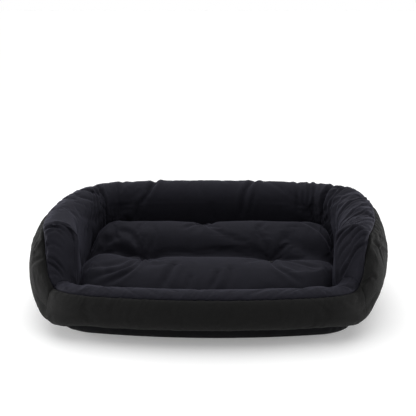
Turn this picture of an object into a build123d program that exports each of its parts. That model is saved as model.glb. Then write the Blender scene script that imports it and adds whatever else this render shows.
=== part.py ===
"""Rectangular bolster bed for a dog, with a loose tufted cushion.

Frame: +X to the right, +Y to the back, +Z up, origin on the floor under the middle of the bed.
Four stuffed bolsters stand round a flat base and meet at sewn mitres in the corners.
The front bolster is a low lip, and the two arms rise from it to the height of the back.
The cushion lies between them, closed by a zip along its rear edge, and lifts straight out.
"""
import math
import os

from build123d import *

os.makedirs("parts", exist_ok=True)

# Plan of the bed on its widest line
bed_length = 800.0
bed_depth = 524.0
corner_radius = 160.0
side_bow = 15.0
front_bow = 17.0
rear_shift_share = 0.077

# Bolster sections: the low front first, the high back and arms second
lip_height = 124.0
back_height = 218.0
lip_width = 84.0
back_width = 106.0
lip_widest_height = 66.0
back_widest_height = 108.0
lip_crest_inset = 38.0
back_crest_inset = 62.0
lip_seam_turn = 32.0
back_seam_turn = 38.0
lip_base_seam_inset = 36.0
back_base_seam_inset = 60.0
lip_base_seam_height = 32.0
back_base_seam_height = 40.0
lip_floor_inset = 50.0
back_floor_inset = 76.0
heel_radius = 15.0
rise_start_turn = 8.0
rise_end_turn = 66.0

# Fabric and stuffing
cover_thickness = 2.0
base_thickness = 2.0
base_foot_width = 22.0
fill_gap = 0.3
divider_thickness = 0.8

# Loose cushion, its places counted from the middle of the bed
cushion_half_length = 288.0
cushion_rear = 124.0
cushion_front = 168.0
cushion_gap = 0.3
cushion_cover = 2.0
cushion_seam_height = 62.0
cushion_rear_crown = 142.0
cushion_front_crown = 124.0
cushion_valley = 94.0
cushion_rear_crest = 86.0
cushion_front_crest = 95.0
cushion_valley_place = -8.0
channel_half_width = 15.0
channel_rear_rise = 12.0
channel_front_rise = 7.0
cushion_rear_land = 24.0
cushion_front_land = 10.0
cushion_bottom_inset = 26.0

# Tufts sewn through the cushion
tuft_row_dip = 10.0
tuft_crest_dip = 16.0
tuft_bar_length = 9.0
tuft_bar_radius = 1.2
tuft_bar_rise = 2.2
tuft_thread_radius = 1.1
tuft_thread_play = 0.4

# Zip along the rear edge of the cushion
zip_length = 370.0
zip_slot_margin = 1.0
zip_tape_thickness = 0.8
zip_tape_setback = 0.8
zip_tape_play = 0.3
zip_tooth_length = 2.4
zip_tooth_thickness = 2.0
zip_tooth_pitch = 3.7
zip_tooth_gap = 1.6
zip_spine_width = 0.8
zip_stop_length = 3.0
zip_groove_play = 1.0
slider_length = 11.0
slider_width = 9.0
slider_plate = 1.1
slider_play = 0.35
slider_post_length = 3.0
slider_post_thickness = 0.8
slider_ear_length = 3.2
slider_ear_thickness = 1.0
slider_pin_radius = 0.8
pull_length = 15.0
pull_width = 5.0
pull_neck_width = 3.0
pull_thickness = 1.4
pull_eye_radius = 1.7
pull_play = 0.1
pull_side_play = 0.25
pull_lift = 0.2

# Spacing of the loft stations where the bolster climbs
climb_step = 18.0

# Directions in a section, in degrees from straight outwards
upwards, inwards, downwards, full_turn = 90.0, 180.0, 270.0, 360.0
angle_slack = 1e-6


def blend(low, high, rise):
    """Value between the low front and the high back."""
    return low + (high - low) * rise


def rise_at(turn):
    """0 along the front, 1 along the arms and back, with a smooth climb in the front corners."""
    below = -math.degrees(math.asin(math.sin(math.radians(turn))))
    share = (rise_end_turn - below) / (rise_end_turn - rise_start_turn)
    share = min(1.0, max(0.0, share))
    return share * share * (3.0 - 2.0 * share)


def plan_corner(side, end):
    """Centre of a corner arc: side is 1 at the right and -1 at the left, end 1 at the rear."""
    across = end * (bed_depth / 2 - corner_radius - front_bow)
    return Vector(side * (bed_length / 2 - corner_radius - side_bow) + rear_shift_share * across, across)


def bowed_arc(first_corner, last_corner, bow):
    """Centre and radius of the arc that touches two corner arcs and bows out between them."""
    half_span = (last_corner - first_corner).length / 2
    radius = corner_radius + (bow**2 + half_span**2) / (2 * bow)
    along = (last_corner - first_corner).normalized()
    outward = Vector(along.Y, -along.X)
    middle = (first_corner + last_corner) / 2
    return middle - outward * (radius - corner_radius - bow), radius


def direction(vector):
    """Direction of a plan vector in degrees, from -180 to 180."""
    return math.degrees(math.atan2(vector.Y, vector.X))


def plan_arcs():
    """The eight arcs of the widest line, as (first turn, last turn, centre, radius)."""
    corners = [plan_corner(1, -1), plan_corner(1, 1), plan_corner(-1, 1), plan_corner(-1, -1)]
    bows = [side_bow, front_bow, side_bow, front_bow]
    arcs = []
    for index, corner in enumerate(corners):
        following = corners[(index + 1) % len(corners)]
        before = corners[index - 1]
        centre, radius = bowed_arc(corner, following, bows[index])
        centre_before, _ = bowed_arc(before, corner, bows[index - 1])
        arcs.append([direction(corner - centre_before), direction(corner - centre), corner, corner_radius])
        arcs.append([direction(corner - centre), direction(following - centre), centre, radius])
    for arc in arcs:
        if arc[1] < arc[0]:
            arc[1] += full_turn
    return arcs


def arc_at(turn):
    """The arc of the widest line whose outward side faces a direction."""
    for first, last, centre, radius in widest_line:
        for whole in (-full_turn, 0.0, full_turn):
            if first - angle_slack <= turn + whole <= last + angle_slack:
                return centre, radius
    raise ValueError(f"no arc faces {turn}")


def station(turn, along=0.0):
    """Upright plane across the bolster: local X points outwards, local Y up."""
    centre, radius = arc_at(turn)
    outward = Vector(math.cos(math.radians(turn)), math.sin(math.radians(turn)))
    plane = Plane(
        origin=centre + outward * radius,
        x_dir=outward,
        z_dir=(outward.Y, -outward.X, 0),
    )
    return plane.offset(-along)


class RollSection:
    """Section of a bolster: arcs without kinks, each (centre, radius, start angle, end angle)."""

    def __init__(self, turn):
        rise = rise_at(turn)
        height = blend(lip_height, back_height, rise)
        width = blend(lip_width, back_width, rise)
        crest = blend(lip_crest_inset, back_crest_inset, rise)
        widest = blend(lip_widest_height, back_widest_height, rise)
        seam_turn = blend(lip_seam_turn, back_seam_turn, rise)
        seam_inset = blend(lip_base_seam_inset, back_base_seam_inset, rise)
        seam_height = blend(lip_base_seam_height, back_base_seam_height, rise)
        self.base_seam = (-seam_inset, seam_height)
        self.floor_inset = blend(lip_floor_inset, back_floor_inset, rise)

        drop = widest - seam_height
        lower_radius = (seam_inset**2 + drop**2) / (2 * seam_inset)
        lower_start = -math.degrees(math.atan2(drop, lower_radius - seam_inset))
        self.lower = ((-lower_radius, widest), lower_radius, lower_start, 0.0)

        sine, cosine = math.sin(math.radians(seam_turn)), math.cos(math.radians(seam_turn))
        scale = (1 - cosine) * (1 - sine) - cosine * sine
        upper_radius = (crest * (1 - sine) - (height - widest) * cosine) / scale
        shoulder_radius = ((1 - cosine) * (height - widest) - crest * sine) / scale
        self.upper = ((-upper_radius, widest), upper_radius, 0.0, seam_turn)
        self.shoulder = ((-crest, height - shoulder_radius), shoulder_radius, seam_turn, upwards)

        inner_radius = width - crest
        self.inner_top = ((-crest, height - inner_radius), inner_radius, upwards, inwards)
        heel_centre = (-width + heel_radius, base_thickness + heel_radius)
        self.heel = (heel_centre, heel_radius, inwards, downwards)

    def outer_arcs(self):
        """From the base seam over the widest line to the top seam."""
        return [self.lower, self.upper]

    def inner_arcs(self):
        """From the top seam over the crest and down the inner wall to the base."""
        return [self.shoulder, self.inner_top, self.heel]

    def band(self, arcs, thickness):
        """Closed strip of cover fabric along a chain of arcs."""
        outer_start, outer_end = self.chain(arcs, 0)
        inner_start, inner_end = self.chain(arcs, thickness)
        Line(outer_start, inner_start)
        Line(outer_end, inner_end)

    def stuffing(self, inset):
        """Closed outline of the space inside the covers."""
        start, end = self.chain(self.outer_arcs() + self.inner_arcs(), inset)
        flange = base_thickness + fill_gap
        toe = (-self.floor_inset - flange, end[1])
        knee = (self.base_seam[0] - flange, self.base_seam[1])
        Polyline(end, toe, knee, start)

    def base_flange(self, thickness):
        """Closed strip of base fabric: a foot on the floor and a wall up to the base seam."""
        toe = (-self.floor_inset, 0)
        foot = (-self.floor_inset - base_foot_width, 0)
        seam = self.base_seam
        Polyline(
            foot,
            toe,
            seam,
            (seam[0] - thickness, seam[1]),
            (toe[0] - thickness, thickness),
            (foot[0], thickness),
            close=True,
        )

    def chain(self, arcs, inset):
        """Draw arcs end to end, each radius less the inset, and return both ends."""
        start = last = None
        for centre, radius, first_angle, last_angle in arcs:
            middle_angle = (first_angle + last_angle) / 2
            first, middle, end = (
                (
                    centre[0] + (radius - inset) * math.cos(math.radians(angle)),
                    centre[1] + (radius - inset) * math.sin(math.radians(angle)),
                )
                for angle in (first_angle, middle_angle, last_angle)
            )
            if start is None:
                start = last = first
            if radius == heel_radius:
                Line(last, first)
                last = first
            ThreePointArc(last, middle, end)
            last = end
        return start, last


widest_line = plan_arcs()
# Directions of the sewn mitres, and the first and last direction of each bolster
rear_mitre, front_mitre = 45.0, 50.0
bolsters = {
    "front": (-180.0 + front_mitre, -front_mitre),
    "right": (-front_mitre, rear_mitre),
    "back": (rear_mitre, 180.0 - rear_mitre),
    "left": (180.0 - rear_mitre, 180.0 + front_mitre),
}


def stretches(first, last):
    """Cut a run of directions where the plan changes arc and where the climb starts or ends."""
    cuts = {first, last}
    climbs = [-rise_start_turn, -rise_end_turn, rise_end_turn - inwards, rise_start_turn - inwards]
    for turn in climbs + [arc[0] for arc in widest_line]:
        for whole in (-full_turn, 0.0, full_turn):
            if first + angle_slack < turn + whole < last - angle_slack:
                cuts.add(turn + whole)
    turns = sorted(cuts)
    return list(zip(turns, turns[1:]))


def stretch_turns(start, end):
    """Directions of the loft stations of one stretch, evenly spaced."""
    _, radius = arc_at((start + end) / 2)
    steps = max(1, math.ceil(radius * math.radians(end - start) / climb_step))
    return [start + (end - start) * step / steps for step in range(steps + 1)]


def section_face(turn, draw_section):
    """One outline of a bolster's section, standing at its station."""
    with BuildSketch(station(turn)) as outline:
        with BuildLine():
            draw_section(RollSection(turn))
        make_face()
    return outline.sketch.face()


def carry(first, last, draw_section):
    """Carry a section round the plan: turned about each arc's centre, or lofted where it climbs."""
    for start, end in stretches(first, last):
        centre, _ = arc_at((start + end) / 2)
        if rise_at(start) == rise_at(end):
            axis = Axis(centre, (0, 0, 1))
            revolve(section_face(start, draw_section), axis, revolution_arc=end - start)
        else:
            faces = [section_face(turn, draw_section) for turn in stretch_turns(start, end)]
            loft(faces, ruled=True)


def save(node, name):
    """Name a finished piece and write its file."""
    node.part.label = name
    export_step(node.part, f"parts/{name}.step")


# Outer panels, inner panels and stuffing of the four bolsters
for side, (first, last) in bolsters.items():
    with BuildPart() as outer_panel:
        carry(first, last, lambda roll: roll.band(roll.outer_arcs(), cover_thickness))
    save(outer_panel, f"outer_{side}_panel")

    with BuildPart() as inner_panel:
        carry(first, last, lambda roll: roll.band(roll.inner_arcs(), cover_thickness))
    save(inner_panel, f"inner_{side}_panel")

    with BuildPart() as bolster_fill:
        carry(first, last, lambda roll: roll.stuffing(cover_thickness + fill_gap))
        for mitre in (first, last):
            with BuildSketch(station(mitre)):
                with Locations((-back_width / 2, back_height / 2)):
                    Rectangle(2 * back_width, 2 * back_height)
            extrude(amount=divider_thickness / 2 + fill_gap, both=True, mode=Mode.SUBTRACT)
    save(bolster_fill, f"{side}_bolster_fill")
    print(side, "fill", round(bolster_fill.part.volume), "valid", bolster_fill.part.is_valid)

# Base: a flat sheet on the floor whose edge is turned up to the base seam
edge_turns = []
for first, last in bolsters.values():
    for start, end in stretches(first, last):
        edge_turns.append(start)
        edge_turns.append((start + end) / 2)
with BuildPart() as base_panel:
    for first, last in bolsters.values():
        carry(first, last, lambda roll: roll.base_flange(base_thickness))
    with BuildSketch():
        with BuildLine():
            sheet_edge = [
                station(turn).from_local_coords(
                    Vector(-RollSection(turn).floor_inset - base_foot_width / 2, 0, 0)
                )
                for turn in edge_turns
            ]
            Spline(*sheet_edge, periodic=True)
        make_face()
    extrude(amount=base_thickness)
save(base_panel, "base_panel")

# Fabric dividers that close the bolsters at the mitres
mitres = {
    "front_left": -180.0 + front_mitre,
    "front_right": -front_mitre,
    "rear_right": rear_mitre,
    "rear_left": 180.0 - rear_mitre,
}
for corner, turn in mitres.items():
    with BuildPart() as divider:
        with BuildSketch(station(turn)):
            with BuildLine():
                RollSection(turn).stuffing(cover_thickness + fill_gap)
            make_face()
        extrude(amount=divider_thickness / 2, both=True)
    save(divider, f"{corner}_divider")


# Cushion stations from left to right: place, rear edge, front edge, crown, and the dips that the
# tufts sew into the valley and into the rear crest
cushion_station_shares = [
    (-1.00, 0.30, 0.24, 0.16, 0.0, 0.0),
    (-0.965, 0.64, 0.50, 0.45, 0.0, 0.0),
    (-0.90, 0.91, 0.82, 0.72, 0.0, 0.0),
    (-0.80, 1.00, 0.915, 0.88, 0.0, 0.0),
    (-0.67, 1.00, 0.95, 0.97, 0.2, 0.0),
    (-0.52, 1.00, 0.975, 0.97, 1.0, 0.0),
    (-0.38, 1.00, 0.99, 1.00, 0.2, 0.1),
    (-0.24, 1.00, 1.00, 1.00, 0.0, 0.4),
    (-0.10, 1.00, 1.00, 1.00, 0.1, 1.0),
    (0.04, 1.00, 1.00, 1.00, 0.0, 0.4),
    (0.18, 1.00, 1.00, 1.00, 0.0, 0.1),
    (0.34, 1.00, 0.99, 1.00, 0.2, 0.0),
    (0.49, 1.00, 0.975, 0.97, 1.0, 0.0),
    (0.65, 1.00, 0.95, 0.97, 0.2, 0.0),
    (0.79, 1.00, 0.915, 0.90, 0.0, 0.0),
    (0.90, 0.91, 0.82, 0.74, 0.0, 0.0),
    (0.965, 0.64, 0.50, 0.45, 0.0, 0.0),
    (1.00, 0.30, 0.24, 0.16, 0.0, 0.0),
]
cushion_end_stations = 3
slant = math.hypot(1, rear_shift_share)
cushion_bottom = base_thickness + cushion_gap


def cushion_plane(place):
    """Upright plane from front to rear: local X points to the rear, local Y up."""
    return Plane(
        origin=(place, 0, 0),
        x_dir=(rear_shift_share / slant, 1 / slant, 0),
        z_dir=(1 / slant, -rear_shift_share / slant, 0),
    )


def cushion_tops(shares):
    """Heights of the rear crest, the valley and the front crest at a station."""
    crown, row_dip, crest_dip = shares[3:]
    rise = [
        (cushion_rear_crown - cushion_seam_height) * crown - tuft_crest_dip * crest_dip,
        (cushion_valley - cushion_seam_height) * crown - tuft_row_dip * row_dip,
        (cushion_front_crown - cushion_seam_height) * crown,
    ]
    return [cushion_seam_height + height for height in rise]


def cushion_outline(shares, inset):
    """Two rounded rows with a rounded channel between, flat underneath, with upright edge bands."""
    rear_share, front_share, crown = shares[1], shares[2], shares[3]
    rear = cushion_rear * rear_share - inset
    front = -cushion_front * front_share + inset
    rear_top, valley_top, front_top = (height - inset for height in cushion_tops(shares))
    full = min(1.0, 2 * crown)
    rear_band, front_band = cushion_rear_land / 2 * full, cushion_front_land / 2 * full
    floor = cushion_seam_height - (cushion_seam_height - cushion_bottom) * full + inset
    tuck = cushion_bottom_inset * full
    rear_crest = (cushion_rear_crest * rear_share, rear_top)
    front_crest = (-cushion_front_crest * front_share, front_top)
    valley = (cushion_valley_place * rear_share, valley_top)
    half_channel = channel_half_width * rear_share + inset
    rear_shoulder = (valley[0] + half_channel, valley[1] + channel_rear_rise * crown)
    front_shoulder = (valley[0] - half_channel, valley[1] + channel_front_rise * crown)
    rear_low, rear_high = (rear, cushion_seam_height - rear_band), (rear, cushion_seam_height + rear_band)
    front_low = (front, cushion_seam_height - front_band)
    front_high = (front, cushion_seam_height + front_band)
    bow_share = 1 - math.sqrt(0.5)
    rear_bow = (rear - tuck * bow_share, floor + (rear_low[1] - floor) * bow_share)
    front_bow = (front + tuck * bow_share, floor + (front_low[1] - floor) * bow_share)
    Line((front + tuck, floor), (rear - tuck, floor))
    ThreePointArc((rear - tuck, floor), rear_bow, rear_low)
    Line(rear_low, rear_high)
    ThreePointArc(rear_high, rear_crest, rear_shoulder)
    ThreePointArc(rear_shoulder, valley, front_shoulder)
    ThreePointArc(front_shoulder, front_crest, front_high)
    Line(front_high, front_low)
    ThreePointArc(front_low, front_bow, (front + tuck, floor))


def cushion_sections(inset):
    """Faces of the cushion's outline at every station, all drawn in by an inset."""
    faces = []
    for shares in cushion_station_shares:
        place = cushion_half_length * shares[0]
        if abs(shares[0]) == 1:
            place -= math.copysign(inset, place)
        with BuildSketch(cushion_plane(place)) as outline:
            with BuildLine():
                cushion_outline(shares, inset)
            make_face()
        faces.append(outline.sketch.face())
    return faces


def on_cushion(place, depth, height):
    """Point of the cushion: place along it, depth towards the rear, height above the floor."""
    return Vector(place + rear_shift_share * depth, depth, height)


# Where the tufts are sewn: (station, depth, height of the top cover)
row_stations = [row for row in cushion_station_shares if row[4] == 1]
crest_stations = [row for row in cushion_station_shares if row[5] == 1]
tufts = [(row[0], cushion_valley_place, cushion_tops(row)[1]) for row in row_stations]
tufts += [(row[0], cushion_rear_crest, cushion_tops(row)[0]) for row in crest_stations]
tuft_places = [on_cushion(cushion_half_length * tuft[0], tuft[1] / slant, 0) for tuft in tufts]

# Zip line: the slot in the rear edge, and the depths at which its layers lie
zip_line = cushion_rear / slant
zip_middle = on_cushion(0, zip_line, cushion_seam_height)
zip_slot_height = cushion_rear_land - 2 * zip_slot_margin
tape_depth = zip_line - zip_tape_setback
teeth_depth = tape_depth - zip_tape_thickness / 2
slider_inside = teeth_depth - zip_tooth_thickness / 2 - slider_play
slider_outside = teeth_depth + zip_tooth_thickness / 2 + slider_play


def along_zip(depth):
    """Upright plane along the zip at a depth: local X points right, local Y up."""
    return Plane(origin=(zip_middle.X, depth, zip_middle.Z), x_dir=(1, 0, 0), z_dir=(0, -1, 0))


def cushion_body(inset):
    """Loft the cushion: straight between the end stations, smooth along the rows."""
    faces = cushion_sections(inset)
    last_end = len(faces) - cushion_end_stations
    loft(faces[: cushion_end_stations + 1], ruled=True)
    loft(faces[cushion_end_stations : last_end])
    loft(faces[last_end - 1 :], ruled=True)


with BuildPart() as cushion_cover_skin:
    cushion_body(0)
with BuildPart() as cushion_cover_lining:
    cushion_body(cushion_cover)
with BuildPart() as cushion_fill:
    add(cushion_cover_lining.part)
    with BuildSketch(along_zip(slider_inside - slider_plate - zip_groove_play)):
        Rectangle(zip_length, slider_width + 2 * zip_groove_play)
    extrude(amount=-2 * cushion_rear_land, mode=Mode.SUBTRACT)
    with Locations(*tuft_places):
        Cylinder(
            tuft_thread_radius + tuft_thread_play,
            2 * cushion_rear_crown,
            align=(Align.CENTER, Align.CENTER, Align.MIN),
            mode=Mode.SUBTRACT,
        )
save(cushion_fill, "cushion_fill")

with BuildPart() as cushion_cover_shell:
    add(cushion_cover_skin.part)
    add(cushion_cover_lining.part, mode=Mode.SUBTRACT)
    with BuildSketch(along_zip(zip_line - cushion_cover)):
        Rectangle(zip_length, zip_slot_height)
    extrude(amount=-2 * cushion_cover, mode=Mode.SUBTRACT)
    with Locations(*tuft_places):
        Cylinder(
            tuft_thread_radius + tuft_thread_play,
            2 * cushion_rear_crown,
            align=(Align.CENTER, Align.CENTER, Align.MIN),
            mode=Mode.SUBTRACT,
        )
cushion_halves = {"top": Keep.TOP, "bottom": Keep.BOTTOM}
for half, keep in cushion_halves.items():
    with BuildPart() as cushion_panel:
        add(cushion_cover_shell.part)
        split(bisect_by=Plane.XY.offset(cushion_seam_height), keep=keep)
    save(cushion_panel, f"cushion_{half}_panel")
    print("cushion", half, cushion_panel.part.is_valid, len(cushion_panel.part.solids()))

# Stitches that draw the tufts in: a thread through the cushion and a short bar over the cover
with BuildPart() as tuft_threads:
    for place, (_, _, top) in zip(tuft_places, tufts):
        with Locations(place + Vector(0, 0, cushion_bottom)):
            Cylinder(
                tuft_thread_radius,
                top + tuft_bar_rise - cushion_bottom,
                align=(Align.CENTER, Align.CENTER, Align.MIN),
            )
        with Locations(Location(place + Vector(0, 0, top + tuft_bar_rise), (0, 90, 0))):
            Cylinder(tuft_bar_radius, tuft_bar_length)
save(tuft_threads, "tuft_threads")

# Zip tapes and teeth: the upper row points down and the lower row up
tooth_root = zip_tooth_gap / 2 + zip_tooth_length
tape_height = zip_slot_height / 2 - tooth_root - zip_tape_play
teeth_length = zip_length - 2 * zip_stop_length - 2 * zip_tape_play
tooth_count = int(teeth_length / zip_tooth_pitch)
for row, way in {"upper": 1, "lower": -1}.items():
    with BuildPart() as zip_tape:
        with BuildSketch(along_zip(teeth_depth)):
            with Locations((0, way * (tooth_root + tape_height / 2))):
                Rectangle(zip_length - 2 * zip_tape_play, tape_height)
        extrude(amount=zip_tape_thickness / 2, both=True)
    save(zip_tape, f"zip_tape_{row}")

    with BuildPart() as zip_teeth:
        with BuildSketch(along_zip(teeth_depth)):
            with Locations((0, way * (tooth_root - zip_spine_width / 2))):
                Rectangle(tooth_count * zip_tooth_pitch, zip_spine_width)
            with Locations((0, way * (tooth_root - zip_tooth_length / 2))):
                with GridLocations(zip_tooth_pitch, 0, tooth_count, 1):
                    Rectangle(zip_tooth_pitch / 2, zip_tooth_length)
        extrude(amount=zip_tooth_thickness / 2, both=True)
    save(zip_teeth, f"zip_teeth_{row}")

# Stops at both ends of the teeth, sewn to the two tapes
with BuildPart() as zip_stops:
    stop_place = (zip_length - zip_stop_length) / 2 - zip_tape_play
    with BuildSketch(along_zip(teeth_depth)):
        with Locations((stop_place, 0), (-stop_place, 0)):
            Rectangle(zip_stop_length, 2 * tooth_root)
    extrude(amount=zip_tooth_thickness / 2, both=True)
save(zip_stops, "zip_stops")

# Slider: two plates joined by a post that runs between the rows, and two ears with the pull's pin
slider_place = stop_place - (zip_stop_length + slider_length) / 2 - zip_tape_play
pivot_depth = slider_outside + slider_plate + pull_eye_radius + pull_lift
ear_reach = pivot_depth + slider_pin_radius - slider_outside
ear_spread = pull_neck_width / 2 + pull_side_play + slider_ear_thickness / 2
pin_place = zip_middle + Vector(slider_place, 0, 0)
pivot = Plane(origin=(pin_place.X, pivot_depth, zip_middle.Z))
with BuildPart() as zip_slider:
    for depth, outwards in ((slider_inside, -1), (slider_outside, 1)):
        with BuildSketch(along_zip(depth)):
            with Locations((slider_place, 0)):
                RectangleRounded(slider_length, slider_width, slider_width / 4)
        extrude(amount=-outwards * slider_plate)
    with BuildSketch(along_zip(slider_inside)):
        with Locations((slider_place + (slider_length - slider_post_length) / 2, 0)):
            Rectangle(slider_post_length, slider_post_thickness)
    extrude(amount=-(slider_outside - slider_inside))
    with BuildSketch(along_zip(slider_outside)):
        with Locations((slider_place, ear_spread), (slider_place, -ear_spread)):
            Rectangle(slider_ear_length, slider_ear_thickness)
    extrude(amount=-ear_reach)
    with BuildSketch(pivot):
        Circle(slider_pin_radius)
    extrude(amount=ear_spread, both=True)
save(zip_slider, "zip_slider")

# Pull tab, turning on the slider's pin
with BuildPart() as zip_pull:
    with BuildSketch(pivot):
        Circle(pull_eye_radius)
        with Locations((-slider_ear_length, 0)):
            Rectangle(2 * slider_ear_length, pull_thickness)
    extrude(amount=pull_neck_width / 2, both=True)
    with BuildSketch(pivot):
        with Locations((-(pull_length + slider_ear_length) / 2, 0)):
            Rectangle(pull_length - slider_ear_length, pull_thickness)
    extrude(amount=pull_width / 2, both=True)
    with BuildSketch(pivot):
        Circle(slider_pin_radius + pull_play)
    extrude(amount=pull_width, both=True, mode=Mode.SUBTRACT)
save(zip_pull, "zip_pull")
print("zip travel", teeth_length - slider_length - 2 * zip_tape_play)
print("pull pivot", tuple(round(value, 4) for value in pivot.origin))
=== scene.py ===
"""Dressed model of a rectangular bolster bed for a dog, with a loose tufted cushion.

Metres throughout, in the frame of the measured part: +X to the right, +Y to the back, +Z up.
The bolster covers are one ring of cloth, swollen by simulation and then cut into its panels.
"""

import math

import bpy
import numpy as np
from bpy.props import FloatProperty, FloatVectorProperty, IntProperty
from mathutils import Matrix, Vector


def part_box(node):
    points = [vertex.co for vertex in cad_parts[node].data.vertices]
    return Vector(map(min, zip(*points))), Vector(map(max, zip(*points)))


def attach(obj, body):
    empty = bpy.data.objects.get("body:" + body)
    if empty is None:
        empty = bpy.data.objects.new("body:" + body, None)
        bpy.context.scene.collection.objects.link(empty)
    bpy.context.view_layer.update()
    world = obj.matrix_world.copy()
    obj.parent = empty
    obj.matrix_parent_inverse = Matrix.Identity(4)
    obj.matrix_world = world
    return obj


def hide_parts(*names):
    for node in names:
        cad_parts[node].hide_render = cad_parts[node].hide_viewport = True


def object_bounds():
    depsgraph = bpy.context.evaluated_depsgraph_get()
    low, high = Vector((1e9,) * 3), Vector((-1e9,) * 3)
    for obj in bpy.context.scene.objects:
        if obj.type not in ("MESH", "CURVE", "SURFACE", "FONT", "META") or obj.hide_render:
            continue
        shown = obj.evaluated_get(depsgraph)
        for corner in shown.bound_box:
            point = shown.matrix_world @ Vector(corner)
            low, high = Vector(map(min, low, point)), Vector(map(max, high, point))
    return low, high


bl_info = {
    "name": "Dog Sofa Bed",
    "version": (1, 0, 0),
    "blender": (4, 5, 0),
    "location": "View3D > Sidebar > Dog Bed",
    "description": "Builds a bolster bed with a loose tufted cushion",
    "category": "Add Mesh",
}

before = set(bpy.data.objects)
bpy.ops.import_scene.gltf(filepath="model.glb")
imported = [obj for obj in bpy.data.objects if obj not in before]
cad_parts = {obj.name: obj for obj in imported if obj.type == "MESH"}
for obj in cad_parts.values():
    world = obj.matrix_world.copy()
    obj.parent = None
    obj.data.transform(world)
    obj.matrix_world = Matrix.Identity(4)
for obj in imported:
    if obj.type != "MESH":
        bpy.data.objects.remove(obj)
cad_low, cad_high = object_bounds()
tape_low, tape_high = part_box("zip_tape_upper")
tape_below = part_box("zip_tape_lower")[0]

# First and last direction of each bolster in degrees, from +X towards +Y
MITRES = {
    "front": (-130.0, -50.0),
    "right": (-50.0, 45.0),
    "back": (45.0, 135.0),
    "left": (135.0, 230.0),
}
WHOLE_TURN = 360.0


# ---------------------------------------------------------------- sizes and colours


class BedSizes(bpy.types.PropertyGroup):
    """Plan and section sizes of the bolsters."""

    length: FloatProperty(
        name="Length", description="Outside length", default=cad_high.x - cad_low.x, unit="LENGTH"
    )
    depth: FloatProperty(
        name="Depth", description="Outside depth", default=cad_high.y - cad_low.y, unit="LENGTH"
    )
    corner: FloatProperty(
        name="Corner", description="Radius of the plan's corners", default=0.160, unit="LENGTH"
    )
    side_bow: FloatProperty(
        name="Side bow", description="How far the arms bow out", default=0.015, unit="LENGTH"
    )
    front_bow: FloatProperty(
        name="Front bow", description="How far front and back bow out", default=0.017, unit="LENGTH"
    )
    lean: FloatProperty(
        name="Lean", description="Shift to the right per metre of depth", default=0.077
    )
    heel: FloatProperty(
        name="Heel", description="Radius at the foot of the inner wall",
        default=0.015, unit="LENGTH",
    )
    column: FloatProperty(
        name="Column", description="Spacing of the cloth's columns", default=0.006, unit="LENGTH"
    )
    thickness: FloatProperty(
        name="Fabric", description="Thickness of the cover fabric", default=0.0014, unit="LENGTH"
    )


class BedFolds(bpy.types.PropertyGroup):
    """How the fabric swells, gathers and folds."""

    pressure: FloatProperty(
        name="Pressure", description="Push of the stuffing in the bolsters", default=2.5
    )
    slack: FloatProperty(
        name="Slack", description="Extra fabric that gathers into folds", default=0.045
    )
    frames: IntProperty(name="Frames", description="Steps of the cloth simulation", default=18)
    swell: FloatProperty(
        name="Swell", description="Most that a bolster's cloth moves", default=0.009, unit="LENGTH"
    )
    kept_swell: FloatProperty(
        name="Kept swell", description="Share of the general swelling that stays", default=0.12
    )
    seam_depth: FloatProperty(
        name="Seam depth", description="How deep a seam is drawn in", default=0.0042, unit="LENGTH"
    )
    seam_reach: FloatProperty(
        name="Seam reach", description="How far a seam draws in the cloth",
        default=0.0042, unit="LENGTH",
    )
    pucker: FloatProperty(
        name="Pucker", description="Height of the puckers along a seam",
        default=0.0011, unit="LENGTH",
    )
    cushion_pressure: FloatProperty(
        name="Cushion pressure", description="Push of the cushion's stuffing", default=3.2
    )
    cushion_slack: FloatProperty(
        name="Cushion slack", description="Extra fabric in the cushion", default=0.05
    )
    cushion_swell: FloatProperty(
        name="Cushion swell", description="Most that the cushion's cloth moves",
        default=0.012, unit="LENGTH",
    )
    sag: FloatProperty(
        name="Corner sag", description="How far the cover hangs at the front corners",
        default=0.016, unit="LENGTH",
    )
    fullness: FloatProperty(
        name="Fullness", description="Strength of the fuller rear right shoulder",
        default=0.017, unit="LENGTH",
    )
    voxel: FloatProperty(
        name="Voxel", description="Mesh size of the cushion's cloth", default=0.0050, unit="LENGTH"
    )


class BedColours(bpy.types.PropertyGroup):
    """Fabric and fitting colours."""

    outer: FloatVectorProperty(
        name="Outer", description="Outer fabric", subtype="COLOR", size=3,
        default=(0.0083, 0.0083, 0.0082),
    )
    inner: FloatVectorProperty(
        name="Inner", description="Inner fabric", subtype="COLOR", size=3,
        default=(0.0126, 0.0124, 0.0172),
    )
    base: FloatVectorProperty(
        name="Base", description="Base fabric", subtype="COLOR", size=3,
        default=(0.0030, 0.0031, 0.0040),
    )
    thread: FloatVectorProperty(
        name="Thread", description="Sewing thread", subtype="COLOR", size=3,
        default=(0.012, 0.012, 0.014),
    )
    metal: FloatVectorProperty(
        name="Enamel", description="Zip slider and pull", subtype="COLOR", size=3,
        default=(0.020, 0.020, 0.021),
    )


def settings_of(scene):
    """The scene's sizes, folds and colours."""
    return scene.bed_sizes, scene.bed_folds, scene.bed_colours


# ---------------------------------------------------------------- plan and section of the bolsters

# Low front and high back values of each section size: metres, and degrees for seam_turn
SECTION_PAIRS = {
    "height": (0.1125, 0.218),
    "width": (0.084, 0.106),
    "widest": (0.066, 0.108),
    "crest": (0.038, 0.062),
    "seam_turn": (50.0, 38.0),
    "seam_inset": (0.036, 0.060),
    "seam_height": (0.032, 0.040),
    "floor_inset": (0.050, 0.076),
}
# Degrees before the front where the arms start and end their fall, left and right
FALL_START, FALL_END = (13.0, 23.0), (54.0, 57.0)
BASE_THICKNESS = 0.002
# Bell curves of the hanging front corners: direction, half width in degrees, share of the sag
HANGING_CORNERS = ((-133, 25, 1.0), (-47, 23, 0.62))
SHOULDER_TURN, SHOULDER_SPREAD = 14, 30


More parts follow.
